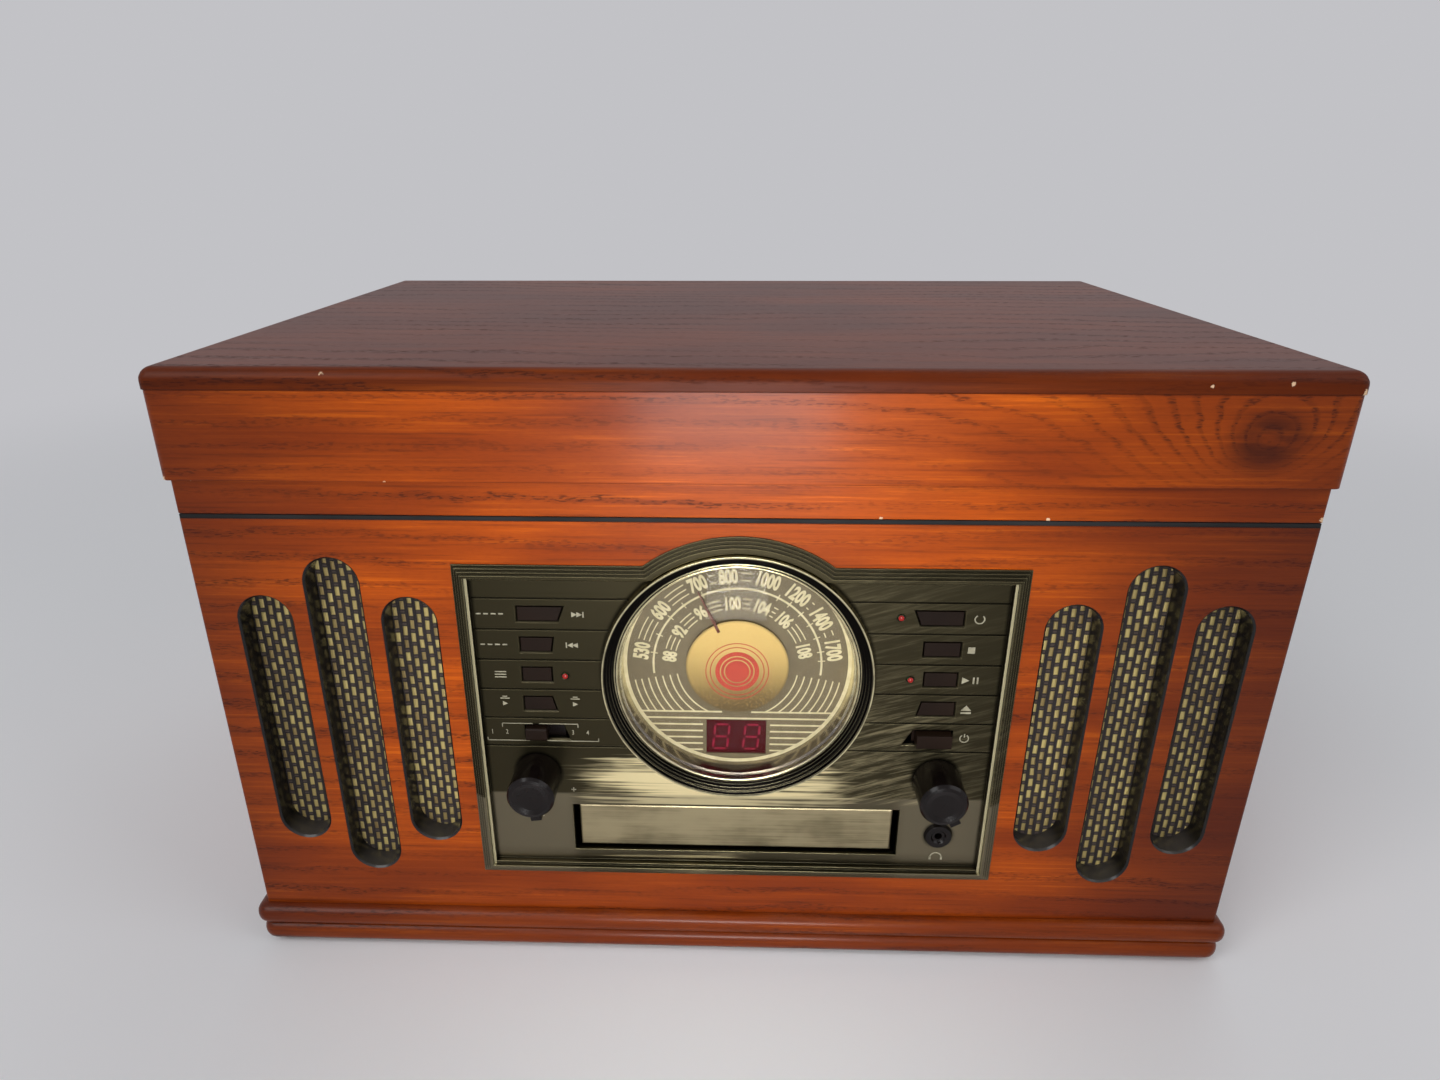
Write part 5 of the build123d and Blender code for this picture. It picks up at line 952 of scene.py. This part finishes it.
# lengths in millimetres, angles in degrees clockwise from the top; a ring is its radius, letter size and numbers
dialSet = {
    "rings": (
        (45.4, 7.6, {"530": -81, "600": -51.8, "700": -24.2, "800": -5.9, "1000": 17, "1200": 36.5, "1400": 57,
                     "1700": 79}),
        (32.0, 6.9, {"88": -82.4, "92": -57.2, "96": -32.3, "100": -4.9, "104": 19.7, "106": 41.5, "108": 75.4}),
    ),
    "squeeze": 0.6, "weight": 0.042, "letterShare": 0.215,
    "dashWidth": 0.55, "dashMargin": 1.1, "leastDash": 1.5, "wideDash": 9, "smallLetters": 7.2,
    "ringRadius": 39.4, "ringWidth": 0.95, "ringEnd": 97,
    "moreTicks": (-67, -39, 27.5, 47, 68, 86), "tickHalf": 1.7, "tickWidth": 0.45,
    "rimRadius": 52.8, "rimWidth": 1.9,
    "arcRadii": (28.7, 32.2, 35.7, 39.2, 42.6, 45.9, 49.0), "arcStart": 100, "arcWidth": 0.65, "arcRise": 0.2,
    "lineDrop": 25.4, "linePitch": 3.58, "lineCount": 7, "lineWidth": 0.85, "lineReach": 52.3,
    "firstGap": 7.0, "displayTop": 29.5, "displayGap": 16.2,
}


def dialNumbers():
    shells = []
    for radius, size, numbers in dialSet["rings"]:
        for words, angle in numbers.items():
            turn = math.radians(angle)
            place = onFront(plateInk, radius * mm * math.sin(turn), dialZ + radius * mm * math.cos(turn), angle)
            shells.append(textShell(words, size * mm, place, ink, dialSet["squeeze"], dialSet["weight"]))
    return shells


def dialDashes():
    # two or three short arcs in the middle of each gap between neighbouring numbers
    shells = []
    for radius, size, numbers in dialSet["rings"]:
        places = list(numbers.items())
        letter = math.degrees(size * dialSet["letterShare"] / radius)
        for (firstWord, first), (secondWord, second) in zip(places, places[1:]):
            start = first + letter * len(firstWord) + dialSet["dashMargin"]
            end = second - letter * len(secondWord) - dialSet["dashMargin"]
            if end - start < dialSet["leastDash"]:
                continue
            three = end - start > dialSet["wideDash"] or size < dialSet["smallLetters"]
            for offset in (-0.34, 0.0, 0.34) if three else (-0.26, 0.22):
                at = (radius + offset * size) * mm
                shells.append(arcBand(at, dialSet["dashWidth"] * mm, start, end, plateInk, ink, dialZ))
    return shells


def dialRingAndTicks():
    middle, end = dialSet["ringRadius"], dialSet["ringEnd"]
    shells = [arcBand(middle * mm, dialSet["ringWidth"] * mm, -end, end, plateInk, ink, dialZ, 72)]
    centre = np.array([0.0, dialZ])
    for angle in (*dialSet["rings"][0][2].values(), *dialSet["moreTicks"]):
        turn = math.radians(angle)
        ray = np.array([math.sin(turn), math.cos(turn)])
        inner, outer = (centre + ray * (middle + part * dialSet["tickHalf"]) * mm for part in (-1, 1))
        shells.append(bar(inner, outer, dialSet["tickWidth"] * mm, plateInk - ink / 2, ink))
    shells.append(arcBand(dialSet["rimRadius"] * mm, dialSet["rimWidth"] * mm, 0, 360, plateInk, ink, dialZ, 120))
    return shells


def dialLowerArcs():
    # arcs that run down to the first line, each side, and the lines under it, cut short round the display
    shells = []
    for radius in dialSet["arcRadii"]:
        end = math.degrees(math.acos(-(dialSet["lineDrop"] - dialSet["arcRise"]) / radius))
        for side in (-1, 1):
            shells.append(arcBand(radius * mm, dialSet["arcWidth"] * mm, side * dialSet["arcStart"], side * end,
                                  plateInk, ink, dialZ, 16))
    for number in range(dialSet["lineCount"]):
        drop = dialSet["lineDrop"] + number * dialSet["linePitch"]
        half = math.sqrt(dialSet["lineReach"] ** 2 - drop ** 2)
        z = dialZ - drop * mm
        inner = 0.0 if drop < dialSet["displayTop"] else dialSet["displayGap"]
        if number == 0:
            inner = dialSet["firstGap"]
        for side in (-mm, mm):
            shells.append(bar((side * inner, z), (side * half, z), dialSet["lineWidth"] * mm, plateInk, ink))
    return shells


addPiece("dialNumbers", dialNumbers(), "creamInk", "cabinet", tidy=False)
addPiece("dialDashes", dialDashes(), "creamInk", "cabinet")
addPiece("dialRings", dialRingAndTicks(), "creamInk", "cabinet")
addPiece("dialLines", dialLowerArcs(), "creamInk", "cabinet")


def discPrint():
    # a filled red dot with two thin pale rings left in it, and two thin red rings round it
    look = {"drop": 2.3, "cuts": (10.3, 7.9, 6.0), "cutHalf": 0.3, "rings": (12.6, 14.7), "ringWidth": 0.42}
    centre = dialZ - look["drop"] * mm
    shells = []
    for number, radius in enumerate(look["cuts"]):
        outer = radius - (look["cutHalf"] if number else 0.0)
        if number + 1 < len(look["cuts"]):
            inner = look["cuts"][number + 1] + look["cutHalf"]
            shells.append(arcBand((outer + inner) / 2 * mm, (outer - inner) * mm, 0, 360, discInk, ink, centre, 72))
        else:
            turn = np.linspace(0, 2 * np.pi, 72, endpoint=False)
            outline = np.stack([np.cos(turn), np.sin(turn)], axis=1) * outer * mm
            shells.append(prism(outline, onFront(discInk, 0.0, centre), ink))
    for radius in look["rings"]:
        shells.append(arcBand(radius * mm, look["ringWidth"] * mm, 0, 360, discInk, ink, centre, 84))
    return shells


addPiece("discDot", discPrint(), "redInk", "cabinet")


def digitSegments():
    # seven slanted bars for each of two figures, drawn in the window
    look = {"height": 13.6, "width": 6.9, "stroke": 1.1, "slant": 0.09, "gap": 14.6, "drop": 39.4, "notch": 0.4}
    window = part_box("digit_display")
    place = onFront(low("digit_display")[1] - ink, (window[0].x + window[1].x) / 2, dialZ - look["drop"] * mm)
    shells = []
    half, tall, stroke, notch = look["width"] / 2, look["height"] / 2, look["stroke"] / 2, look["notch"]
    rows = [(-half, tall, half, tall), (-half, 0, half, 0), (-half, -tall, half, -tall), (-half, notch, -half, tall),
            (half, notch, half, tall), (-half, -tall, -half, -notch), (half, -tall, half, -notch)]
    for centre in (-look["gap"] / 2, look["gap"] / 2):
        for x0, z0, x1, z1 in rows:
            level = z0 == z1
            # a pointed bar: from its first end to its last, and the points in between half a stroke inside them
            right, up = (stroke, 0) if level else (0, stroke)
            ax, az, bx, bz = x0 + right, z0 + up, x1 - right, z1 - up
            side = 1 if level else -1
            outline = [(ax, az), (ax + stroke, az + stroke), (bx - side * stroke, bz + side * stroke), (bx, bz),
                       (bx - stroke, bz - stroke), (ax + side * stroke, az - side * stroke)]
            flat = np.array(outline)
            flat[:, 0] += look["slant"] * flat[:, 1] + centre
            shells.append(prism(flat * mm, place, ink))
    return shells


addPiece("digitSegments", digitSegments(), "segmentPink", "cabinet")

print("stage: panel marks")
panelY = -0.16025
panelInk = panelY - ink
# heights in millimetres of the middles of the five rows of controls
rowMiddle = [top - 7.8 for top in (200.7, 185.22, 169.74, 154.26, 138.78)]


def triangle(x, z, size, pointing=1):
    half = size / 2
    return [(x - pointing * half, z - half), (x + pointing * half, z), (x - pointing * half, z + half)]


def flatBox(x, z, width, height):
    left, right, lower, upper = x - width / 2, x + width / 2, z - height / 2, z + height / 2
    return [(left, lower), (right, lower), (right, upper), (left, upper)]


def panelMarks():
    # small signs beside the controls, as outlines in millimetres: forward and back, list, latch, stop, play, open
    look = {"arrow": 2.6, "post": (0.6, 2.8), "dash": (2.2, 0.7), "listLine": (5.4, 0.55), "stop": 3.2,
            "play": 3.4, "pause": (0.8, 3.4)}
    first, second, third, fourth = rowMiddle[:4]
    arrow = look["arrow"]
    shapes = [triangle(-73.6, first, arrow), triangle(-71.3, first, arrow), flatBox(-69.6, first, *look["post"]),
              flatBox(-78.0, second, *look["post"]), triangle(-76.3, second, arrow, -1),
              triangle(-74.0, second, arrow, -1)]
    for x in (-117.0, -113.6, -110.2, -106.8):
        shapes += [flatBox(x, first, *look["dash"]), flatBox(x + 0.6, second, *look["dash"])]
    for rise in (1.4, 0.0, -1.4):
        shapes.append(flatBox(-109.5, third + rise, *look["listLine"]))
    for x in (-108.5, -75.5):
        shapes += [flatBox(x, fourth + 2.8, 4.4, 0.5), flatBox(x, fourth + 3.8, 2.2, 0.5), triangle(x, fourth, 2.4)]
    shapes += [flatBox(105.0, second, look["stop"], look["stop"]), triangle(104.0, third, look["play"]),
               flatBox(107.6, third, *look["pause"]), flatBox(109.4, third, *look["pause"]),
               [(103.4, fourth - 0.4), (108.2, fourth - 0.4), (105.8, fourth + 2.4)],
               flatBox(105.8, fourth - 1.6, 4.8, 0.9)]
    # more and less beside the volume knob, the ear pads of a headphone bow under the socket
    shapes += [flatBox(-79.0, 98.4, 2.4, 0.55), flatBox(-79.0, 98.4, 0.55, 2.4), flatBox(-95.5, 82.6, 2.4, 0.6),
               flatBox(96.9, 61.2, 1.1, 2.0), flatBox(102.5, 61.2, 1.1, 2.0)]
    return [prism(np.array(shape) * mm, onFront(panelInk), ink) for shape in shapes]


def signArc(x, z, radius, start, end, width=0.6):
    turn = np.radians(np.linspace(start, end, 22))
    inner, outer = radius - width / 2, radius + width / 2
    ring = np.stack([np.sin(turn), np.cos(turn)], axis=1)
    outline = np.vstack([ring * outer, ring[::-1] * inner]) + [x, z]
    return prism(outline * mm, onFront(panelInk), ink)


def panelLines():
    # the brackets over and under the slide switch, the loop sign, the power sign and the headphone bow
    z = rowMiddle[4]
    over, under = z + 4.6, z - 4.8
    lines = [((-111.0, over), (-96.5, over)), ((-93.5, over), (-75.0, over)), ((-111.0, over), (-111.0, z + 2.6)),
             ((-75.0, over), (-75.0, z + 2.6)), ((-118.5, under), (-98.5, under)), ((-90.0, under), (-65.5, under)),
             ((-118.5, under), (-118.5, z - 3.2)), ((-65.5, under), (-65.5, z - 3.2))]
    shells = [bar(np.array(start) * mm, np.array(end) * mm, 0.4 * mm, panelInk, ink) for start, end in lines]
    shells += [signArc(107.0, rowMiddle[0], 2.1, 40, 330), signArc(106.6, z, 2.0, 30, 330),
               signArc(99.7, 61.6, 2.8, -90, 90)]
    return shells + [bar((0.1066, (z + 0.6) * mm), (0.1066, (z + 2.6) * mm), 0.6 * mm, panelInk, ink)]


def panelNumbers():
    look = {"size": 2.5, "places": {"1": -116.0, "2": -109.0, "3": -77.5, "4": -70.5}}
    return [textShell(words, look["size"] * mm, onFront(panelInk, x * mm, rowMiddle[4] * mm), ink, 0.7, 0.01)
            for words, x in look["places"].items()]


addPiece("panelMarks", panelMarks(), "paleInk", "cabinet")
addPiece("panelLines", panelLines(), "paleInk", "cabinet")
addPiece("panelNumbers", panelNumbers(), "paleInk", "cabinet", tidy=False)


def lampDomes():
    # a half round red cap on each lamp's tip: radius * cos, height * sin of the angle from the rim
    look = {"places": ((-79.4, 161.5), (72.4, 193.2), (79.0, 162.0)), "radius": 1.35, "height": 0.9, "sunk": 0.1}
    angle = np.linspace(0, np.pi / 2, 9)[:-1]
    radius, height, sunk = look["radius"] * mm, look["height"] * mm, look["sunk"] * mm
    dome = np.stack([radius * np.cos(angle), height * np.sin(angle)], axis=1)
    profile = np.vstack([[0.0, -sunk], [radius, -sunk], dome, [0.0, height]])
    return [lathe(profile, (x * mm, panelY - 0.00032, z * mm), (0, -1, 0), 28) for x, z in look["places"]]


addPiece("lampDomes", lampDomes(), "lampRed", "cabinet", smooth=True)


def sliderShutter():
    # thin strip that closes the slot behind the slide switch in every position
    look = {"left": 7.0, "right": 8.0, "thickness": 0.4, "front": -156.9}
    lowEnd, highEnd = low("function_slider"), high("function_slider")
    left, right = lowEnd[0] - look["left"] * mm, highEnd[0] + look["right"] * mm
    outline = [(left, lowEnd[2]), (right, lowEnd[2]), (right, highEnd[2]), (left, highEnd[2])]
    return [prism(outline, onFront(look["front"] * mm), look["thickness"] * mm)]


addPiece("sliderShutter", sliderShutter(), "glossBlack", "function_slider")

print("stage: cabinet trim")


def gapFelt():
    # a thin black strip round the top edge of the cabinet, outside the lid's bumpers: four bars mitred at the corners
    look = {"outerX": 243.5, "frontOuter": -160.8, "backOuter": 172.2, "width": 1.1, "height": 1.9}
    wide, front, back = look["outerX"], look["frontOuter"], look["backOuter"]
    outer = np.array([(-wide, front), (wide, front), (wide, back), (-wide, back)])
    inner = outer - np.sign(outer - [0.0, 5.0]) * look["width"]
    path = np.concatenate([np.column_stack([ring, np.full(4, level)]) for ring, level in
                           ((outer, 0.0), (outer, look["height"]), (inner, look["height"]), (inner, 0.0))]) * mm
    path[:, 2] += high("front_panel")[2]
    return [(path, gridFaces(4, 4, True, True))]


addPiece("gapFelt", gapFelt(), "feltBlack", "cabinet")


def screwHead(centre, axis, radius, rise, turn=0.0):
    # rounded head with a crossed recess: height = rise * (edge + (1 - edge) * (1 - (r / radius)^2)), less the
    # depth of the two crossed slots inside them
    look = {"slotHalf": 0.16, "slotReach": 0.53, "slotDepth": 0.55, "edge": 0.25}
    axis = np.asarray(axis, float)
    first, second = acrossAxis(axis)
    share = np.array([0.0, 0.12, 0.2, 0.3, 0.4, 0.5, 0.56, 0.72, 0.86, 0.95, 1.0, 1.0])[:, None]
    angle = np.linspace(0, 2 * np.pi, 40, endpoint=False)
    u, v = share * np.cos(angle) * radius, share * np.sin(angle) * radius
    c, t = math.cos(turn), math.sin(turn)
    nearest = np.minimum(abs(u * c + v * t), abs(v * c - u * t))
    inCross = (nearest < look["slotHalf"] * radius) & (share < look["slotReach"])
    height = rise * (look["edge"] + (1 - look["edge"]) * (1 - share ** 2)) - inCross * look["slotDepth"] * rise
    height[-1] = 0.0
    points = np.asarray(centre) + u[..., None] * first + v[..., None] * second + height[..., None] * axis
    return points.reshape(-1, 3), gridFaces(len(share), len(angle), False, True)


def screwRow(places, axis, radius, rise):
    return [screwHead(np.array(place) * mm, axis, radius * mm, rise * mm, 0.5 * number)
            for number, place in enumerate(places)]


# places in millimetres; each hinge leaf has three screws, the middle one nearest the hinge's axis
screwSet = {"backFace": 172.75, "leafFace": 174.35, "hingeX": 150, "leafStep": 22}


def leafScrews(outerZ, middleZ):
    step = screwSet["leafStep"]
    return [(side * (screwSet["hingeX"] + shift), screwSet["leafFace"], z) for side in (-1, 1)
            for shift, z in ((-step, outerZ), (0, middleZ), (step, outerZ))]


rearScrews = [(x, screwSet["backFace"], z) for x in (-224, 224) for z in (33, 131, 226)]
rearScrews += [(x, screwSet["backFace"], 31) for x in (-75, 75)]
floorScrews = [(x, y, 25.0) for x in (-222, 0, 222) for y in (-135, 150)]
for name, places, axis, radius, rise, material, body in (
        ("rearScrews", rearScrews, (0, 1, 0), 3.6, 1.5, "blackSteel", "cabinet"),
        ("bodyLeafScrews", leafScrews(217.5, 226), (0, 1, 0), 2.9, 1.1, "zincSteel", "cabinet"),
        ("lidLeafScrews", leafScrews(260, 251.5), (0, 1, 0), 2.9, 1.1, "zincSteel", "lid"),
        ("floorScrews", floorScrews, (0, 0, -1), 3.6, 1.5, "blackSteel", "cabinet")):
    addPiece(name, screwRow(places, axis, radius, rise), material, body, smooth=True)


def jackCollar(x):
    # a coloured sleeve round a line socket: a rounded square section turned round the socket's axis
    look = {"inner": 4.3, "outer": 6.1, "deep": 2.4, "round": 0.5, "y": 174.25, "z": 68.0}
    inner, outer, deep, rounding = look["inner"], look["outer"], look["deep"], look["round"]
    profile = np.array([(inner, 0), (outer, 0), (outer, deep - rounding), (outer - rounding, deep),
                        (inner + rounding, deep), (inner, deep - rounding), (inner, 0)]) * mm
    return lathe(profile, np.array([x, look["y"], look["z"]]) * mm, (0, 1, 0), 40)


addPiece("jackCollarRed", [jackCollar(129.0)], "jackRed", "cabinet", smooth=True)
addPiece("jackCollarWhite", [jackCollar(115.0)], "jackWhite", "cabinet", smooth=True)

print("stage: turntable marks")
deckTop = 217.5


def deckMarks():
    # the three speeds beside the lever, a line to each, and the up and down arrows of the cue lever
    look = {"size": 3.6, "speeds": {"33": -107.0, "45": -99.25, "78": -91.5}, "numbersX": 146.5, "lineX": 152.0,
            "line": (3.6, 0.5), "arrows": ([(155.0, 55.0), (161.0, 55.0), (158.0, 59.0)],
                                           [(155.0, 52.0), (158.0, 48.0), (161.0, 52.0)])}
    z = deckTop * mm + ink
    shells = [textShell(words, look["size"] * mm, onTop(z, look["numbersX"] * mm, y * mm), ink, 0.8, 0.01)
              for words, y in look["speeds"].items()]
    outlines = [flatBox(look["lineX"], y, *look["line"]) for y in look["speeds"].values()]
    return shells + [prism(np.array(outline) * mm, onTop(z), ink) for outline in (*outlines, *look["arrows"])]


addPiece("deckMarks", deckMarks(), "creamInk", "cabinet", tidy=False)
deckScrews = [(x, y, deckTop) for x in (-221, 221) for y in (-137, 8, 152)]
deckScrews += [(-30, 152, deckTop), (100, -137, deckTop)]
addPiece("deckScrews", screwRow(deckScrews, (0, 0, 1), 3.2, 1.2), "blackSteel", "cabinet", smooth=True)


def strobeDots():
    # three rows of small blocks round the platter's rim: corner = axis + radius * (cos, sin) of an even angle
    look = {"rows": ((229.6, 96), (226.9, 108), (224.2, 120)), "wide": 1.5, "tall": 1.5, "inner": 97.9,
            "outer": 98.12}
    block = np.array([(3, 2, 1, 0), (4, 5, 6, 7), (0, 1, 5, 4), (1, 2, 6, 5), (2, 3, 7, 6), (3, 0, 4, 7)])
    half = look["wide"] / 2 / look["outer"]
    radius = np.array([look["inner"]] * 4 + [look["outer"]] * 4)
    shells = []
    for z, count in look["rows"]:
        angle = np.linspace(0, 2 * np.pi, count, endpoint=False)
        turn = np.stack([angle - half, angle + half, angle + half, angle - half] * 2, axis=1)
        level = np.broadcast_to(z + np.array([-1, -1, 1, 1] * 2) * look["tall"] / 2, turn.shape)
        x, y = platterAxis[0] + radius * np.cos(turn), platterAxis[1] + radius * np.sin(turn)
        faces = (block[None] + 8 * np.arange(count)[:, None, None]).reshape(-1, 4).tolist()
        shells.append((np.stack([x, y, level], axis=2).reshape(-1, 3) * mm, faces))
    return shells


addPiece("strobeDots", strobeDots(), "jackWhite", "platter", tidy=False)
shellScrews = [(124.4, -117.0, 256.0), (130.6, -119.4, 256.0)]
addPiece("shellScrews", screwRow(shellScrews, (0, 0, 1), 1.5, 0.7), "zincSteel", "tonearm", smooth=True)


def weightScale():
    # knurled ring on the counterweight: radius plus a rise that follows the sine of count times the angle
    look = {"radius": 10.95, "inner": 10.6, "rise": 0.28, "count": 44, "from": 121.5, "to": 127.0, "edge": 0.4,
            "axis": (128.0, 256.0)}
    angle = np.linspace(0, 2 * np.pi, look["count"] * 4, endpoint=False)
    outer = look["radius"] + look["rise"] * (1 + np.sin(look["count"] * angle)) / 2
    start, end, edge = look["from"], look["to"], look["edge"]
    levels = [(look["inner"], start), (outer * 0.97, start), (outer, start + edge), (outer, end - edge),
              (outer * 0.97, end), (look["inner"], end)]
    rings = [np.column_stack([look["axis"][0] + np.cos(angle) * radius, np.full(len(angle), y),
                              look["axis"][1] + np.sin(angle) * radius]) for radius, y in levels]
    return [(np.concatenate(rings) * mm, gridFaces(len(rings), len(angle), True, True))]


addPiece("weightKnurl", weightScale(), "blackSteel", "tonearm")

print("stage: camera, floor and light")
cameraSet = {
    "place": (-0.003334, -0.542216, 0.375908), "right": (0.999453, 0.032983, -0.002543),
    "up": (-0.010635, 0.393134, 0.91942), "back": (0.031324, -0.918889, 0.39327),
    "film": 36.0, "lens": 23.68, "shift": (0.0129, 0.0250), "nearest": 0.01,
}
lightSet = {
    "window": {"place": (-1.15, -1.45, 1.65), "size": 1.35, "power": 20.0, "spread": 3.14},
    "fill": {"place": (0.95, -0.55, 0.9), "size": 0.8, "power": 2.4, "spread": 3.14},
    "front": {"place": (0.0, -0.72, 0.2), "size": 0.2, "power": 0.36, "spread": 1.05},
    "rear": {"place": (0.35, 1.05, 1.75), "size": 1.4, "power": 4.6, "spread": 3.14},
}
lightTarget = (0, 0, 0.15)
worldSet = {"sky": (0.275, 0.28, 0.29, 1), "shown": (0.54, 0.54, 0.565, 1), "strength": 1.0}
floorSet = {"colour": (0.89, 0.895, 0.915, 1), "half": 14.0, "lines": 9, "blendFrom": 0.55, "blendTo": 1.7}


def addCamera():
    camera = bpy.data.cameras.new("photoView")
    camera.sensor_width = cameraSet["film"]
    camera.lens = cameraSet["lens"]
    camera.shift_x, camera.shift_y = cameraSet["shift"]
    camera.clip_start = cameraSet["nearest"]
    holder = newObject("photoView", camera)
    columns = [cameraSet[name] for name in ("right", "up", "back", "place")]
    holder.matrix_world = Matrix([[column[row] for column in columns] for row in range(3)] + [[0, 0, 0, 1]])
    bpy.context.scene.camera = holder


def addLights():
    for name, look in lightSet.items():
        light = bpy.data.lights.new(name, "AREA")
        light.shape = "SQUARE"
        light.size, light.energy, light.spread = look["size"], look["power"], look["spread"]
        holder = newObject(name, light)
        holder.location = look["place"]
        holder.rotation_euler = (Vector(lightTarget) - holder.location).to_track_quat("-Z", "Y").to_euler()


def seenDirectly(tree):
    # 1 for rays from the camera and for what gloss and clear pieces show
    path = addNode(tree, "LightPath").outputs
    mirrored = calc(tree, "MAXIMUM", path["Is Glossy Ray"], path["Is Transmission Ray"])
    return calc(tree, "MAXIMUM", path["Is Camera Ray"], mirrored)


def addWorld():
    world = bpy.data.worlds.new("softRoom")
    world.use_nodes = True
    tree = world.node_tree
    tree.nodes.clear()
    colour = blendColour(tree, seenDirectly(tree), worldSet["sky"], worldSet["shown"])
    shader = addNode(tree, "Background", {"Color": colour, "Strength": worldSet["strength"]})
    addNode(tree, "OutputWorld", {"Surface": shader.outputs[0]})
    bpy.context.scene.world = world


def addFloor():
    # a pale table that turns into the backdrop's own light further away
    steps = np.linspace(-floorSet["half"], floorSet["half"], floorSet["lines"])
    mesh = bpy.data.meshes.new("floor")
    mesh.from_pydata([(x, y, 0.0) for y in steps for x in steps], [], gridFaces(len(steps), len(steps)))
    material, tree, shader = startMaterial("paleFloor")
    away = addNode(tree, "VectorMath", {0: objectPlace(tree)}, operation="LENGTH").outputs["Value"]
    far = remap(tree, away, floorSet["blendFrom"], floorSet["blendTo"])
    setShader(tree, shader, {"Base Color": floorSet["colour"], "Roughness": 0.6, "Specular IOR Level": 0.25})
    backdrop = addNode(tree, "Emission", {"Color": worldSet["shown"], "Strength": 1.0})
    mixShader(tree, times(tree, far, seenDirectly(tree)), shader, backdrop)
    mesh.materials.append(material)
    newObject("floor", mesh)


addCamera()
addLights()
addWorld()
addFloor()
bpy.context.scene.view_settings.view_transform = "Standard"
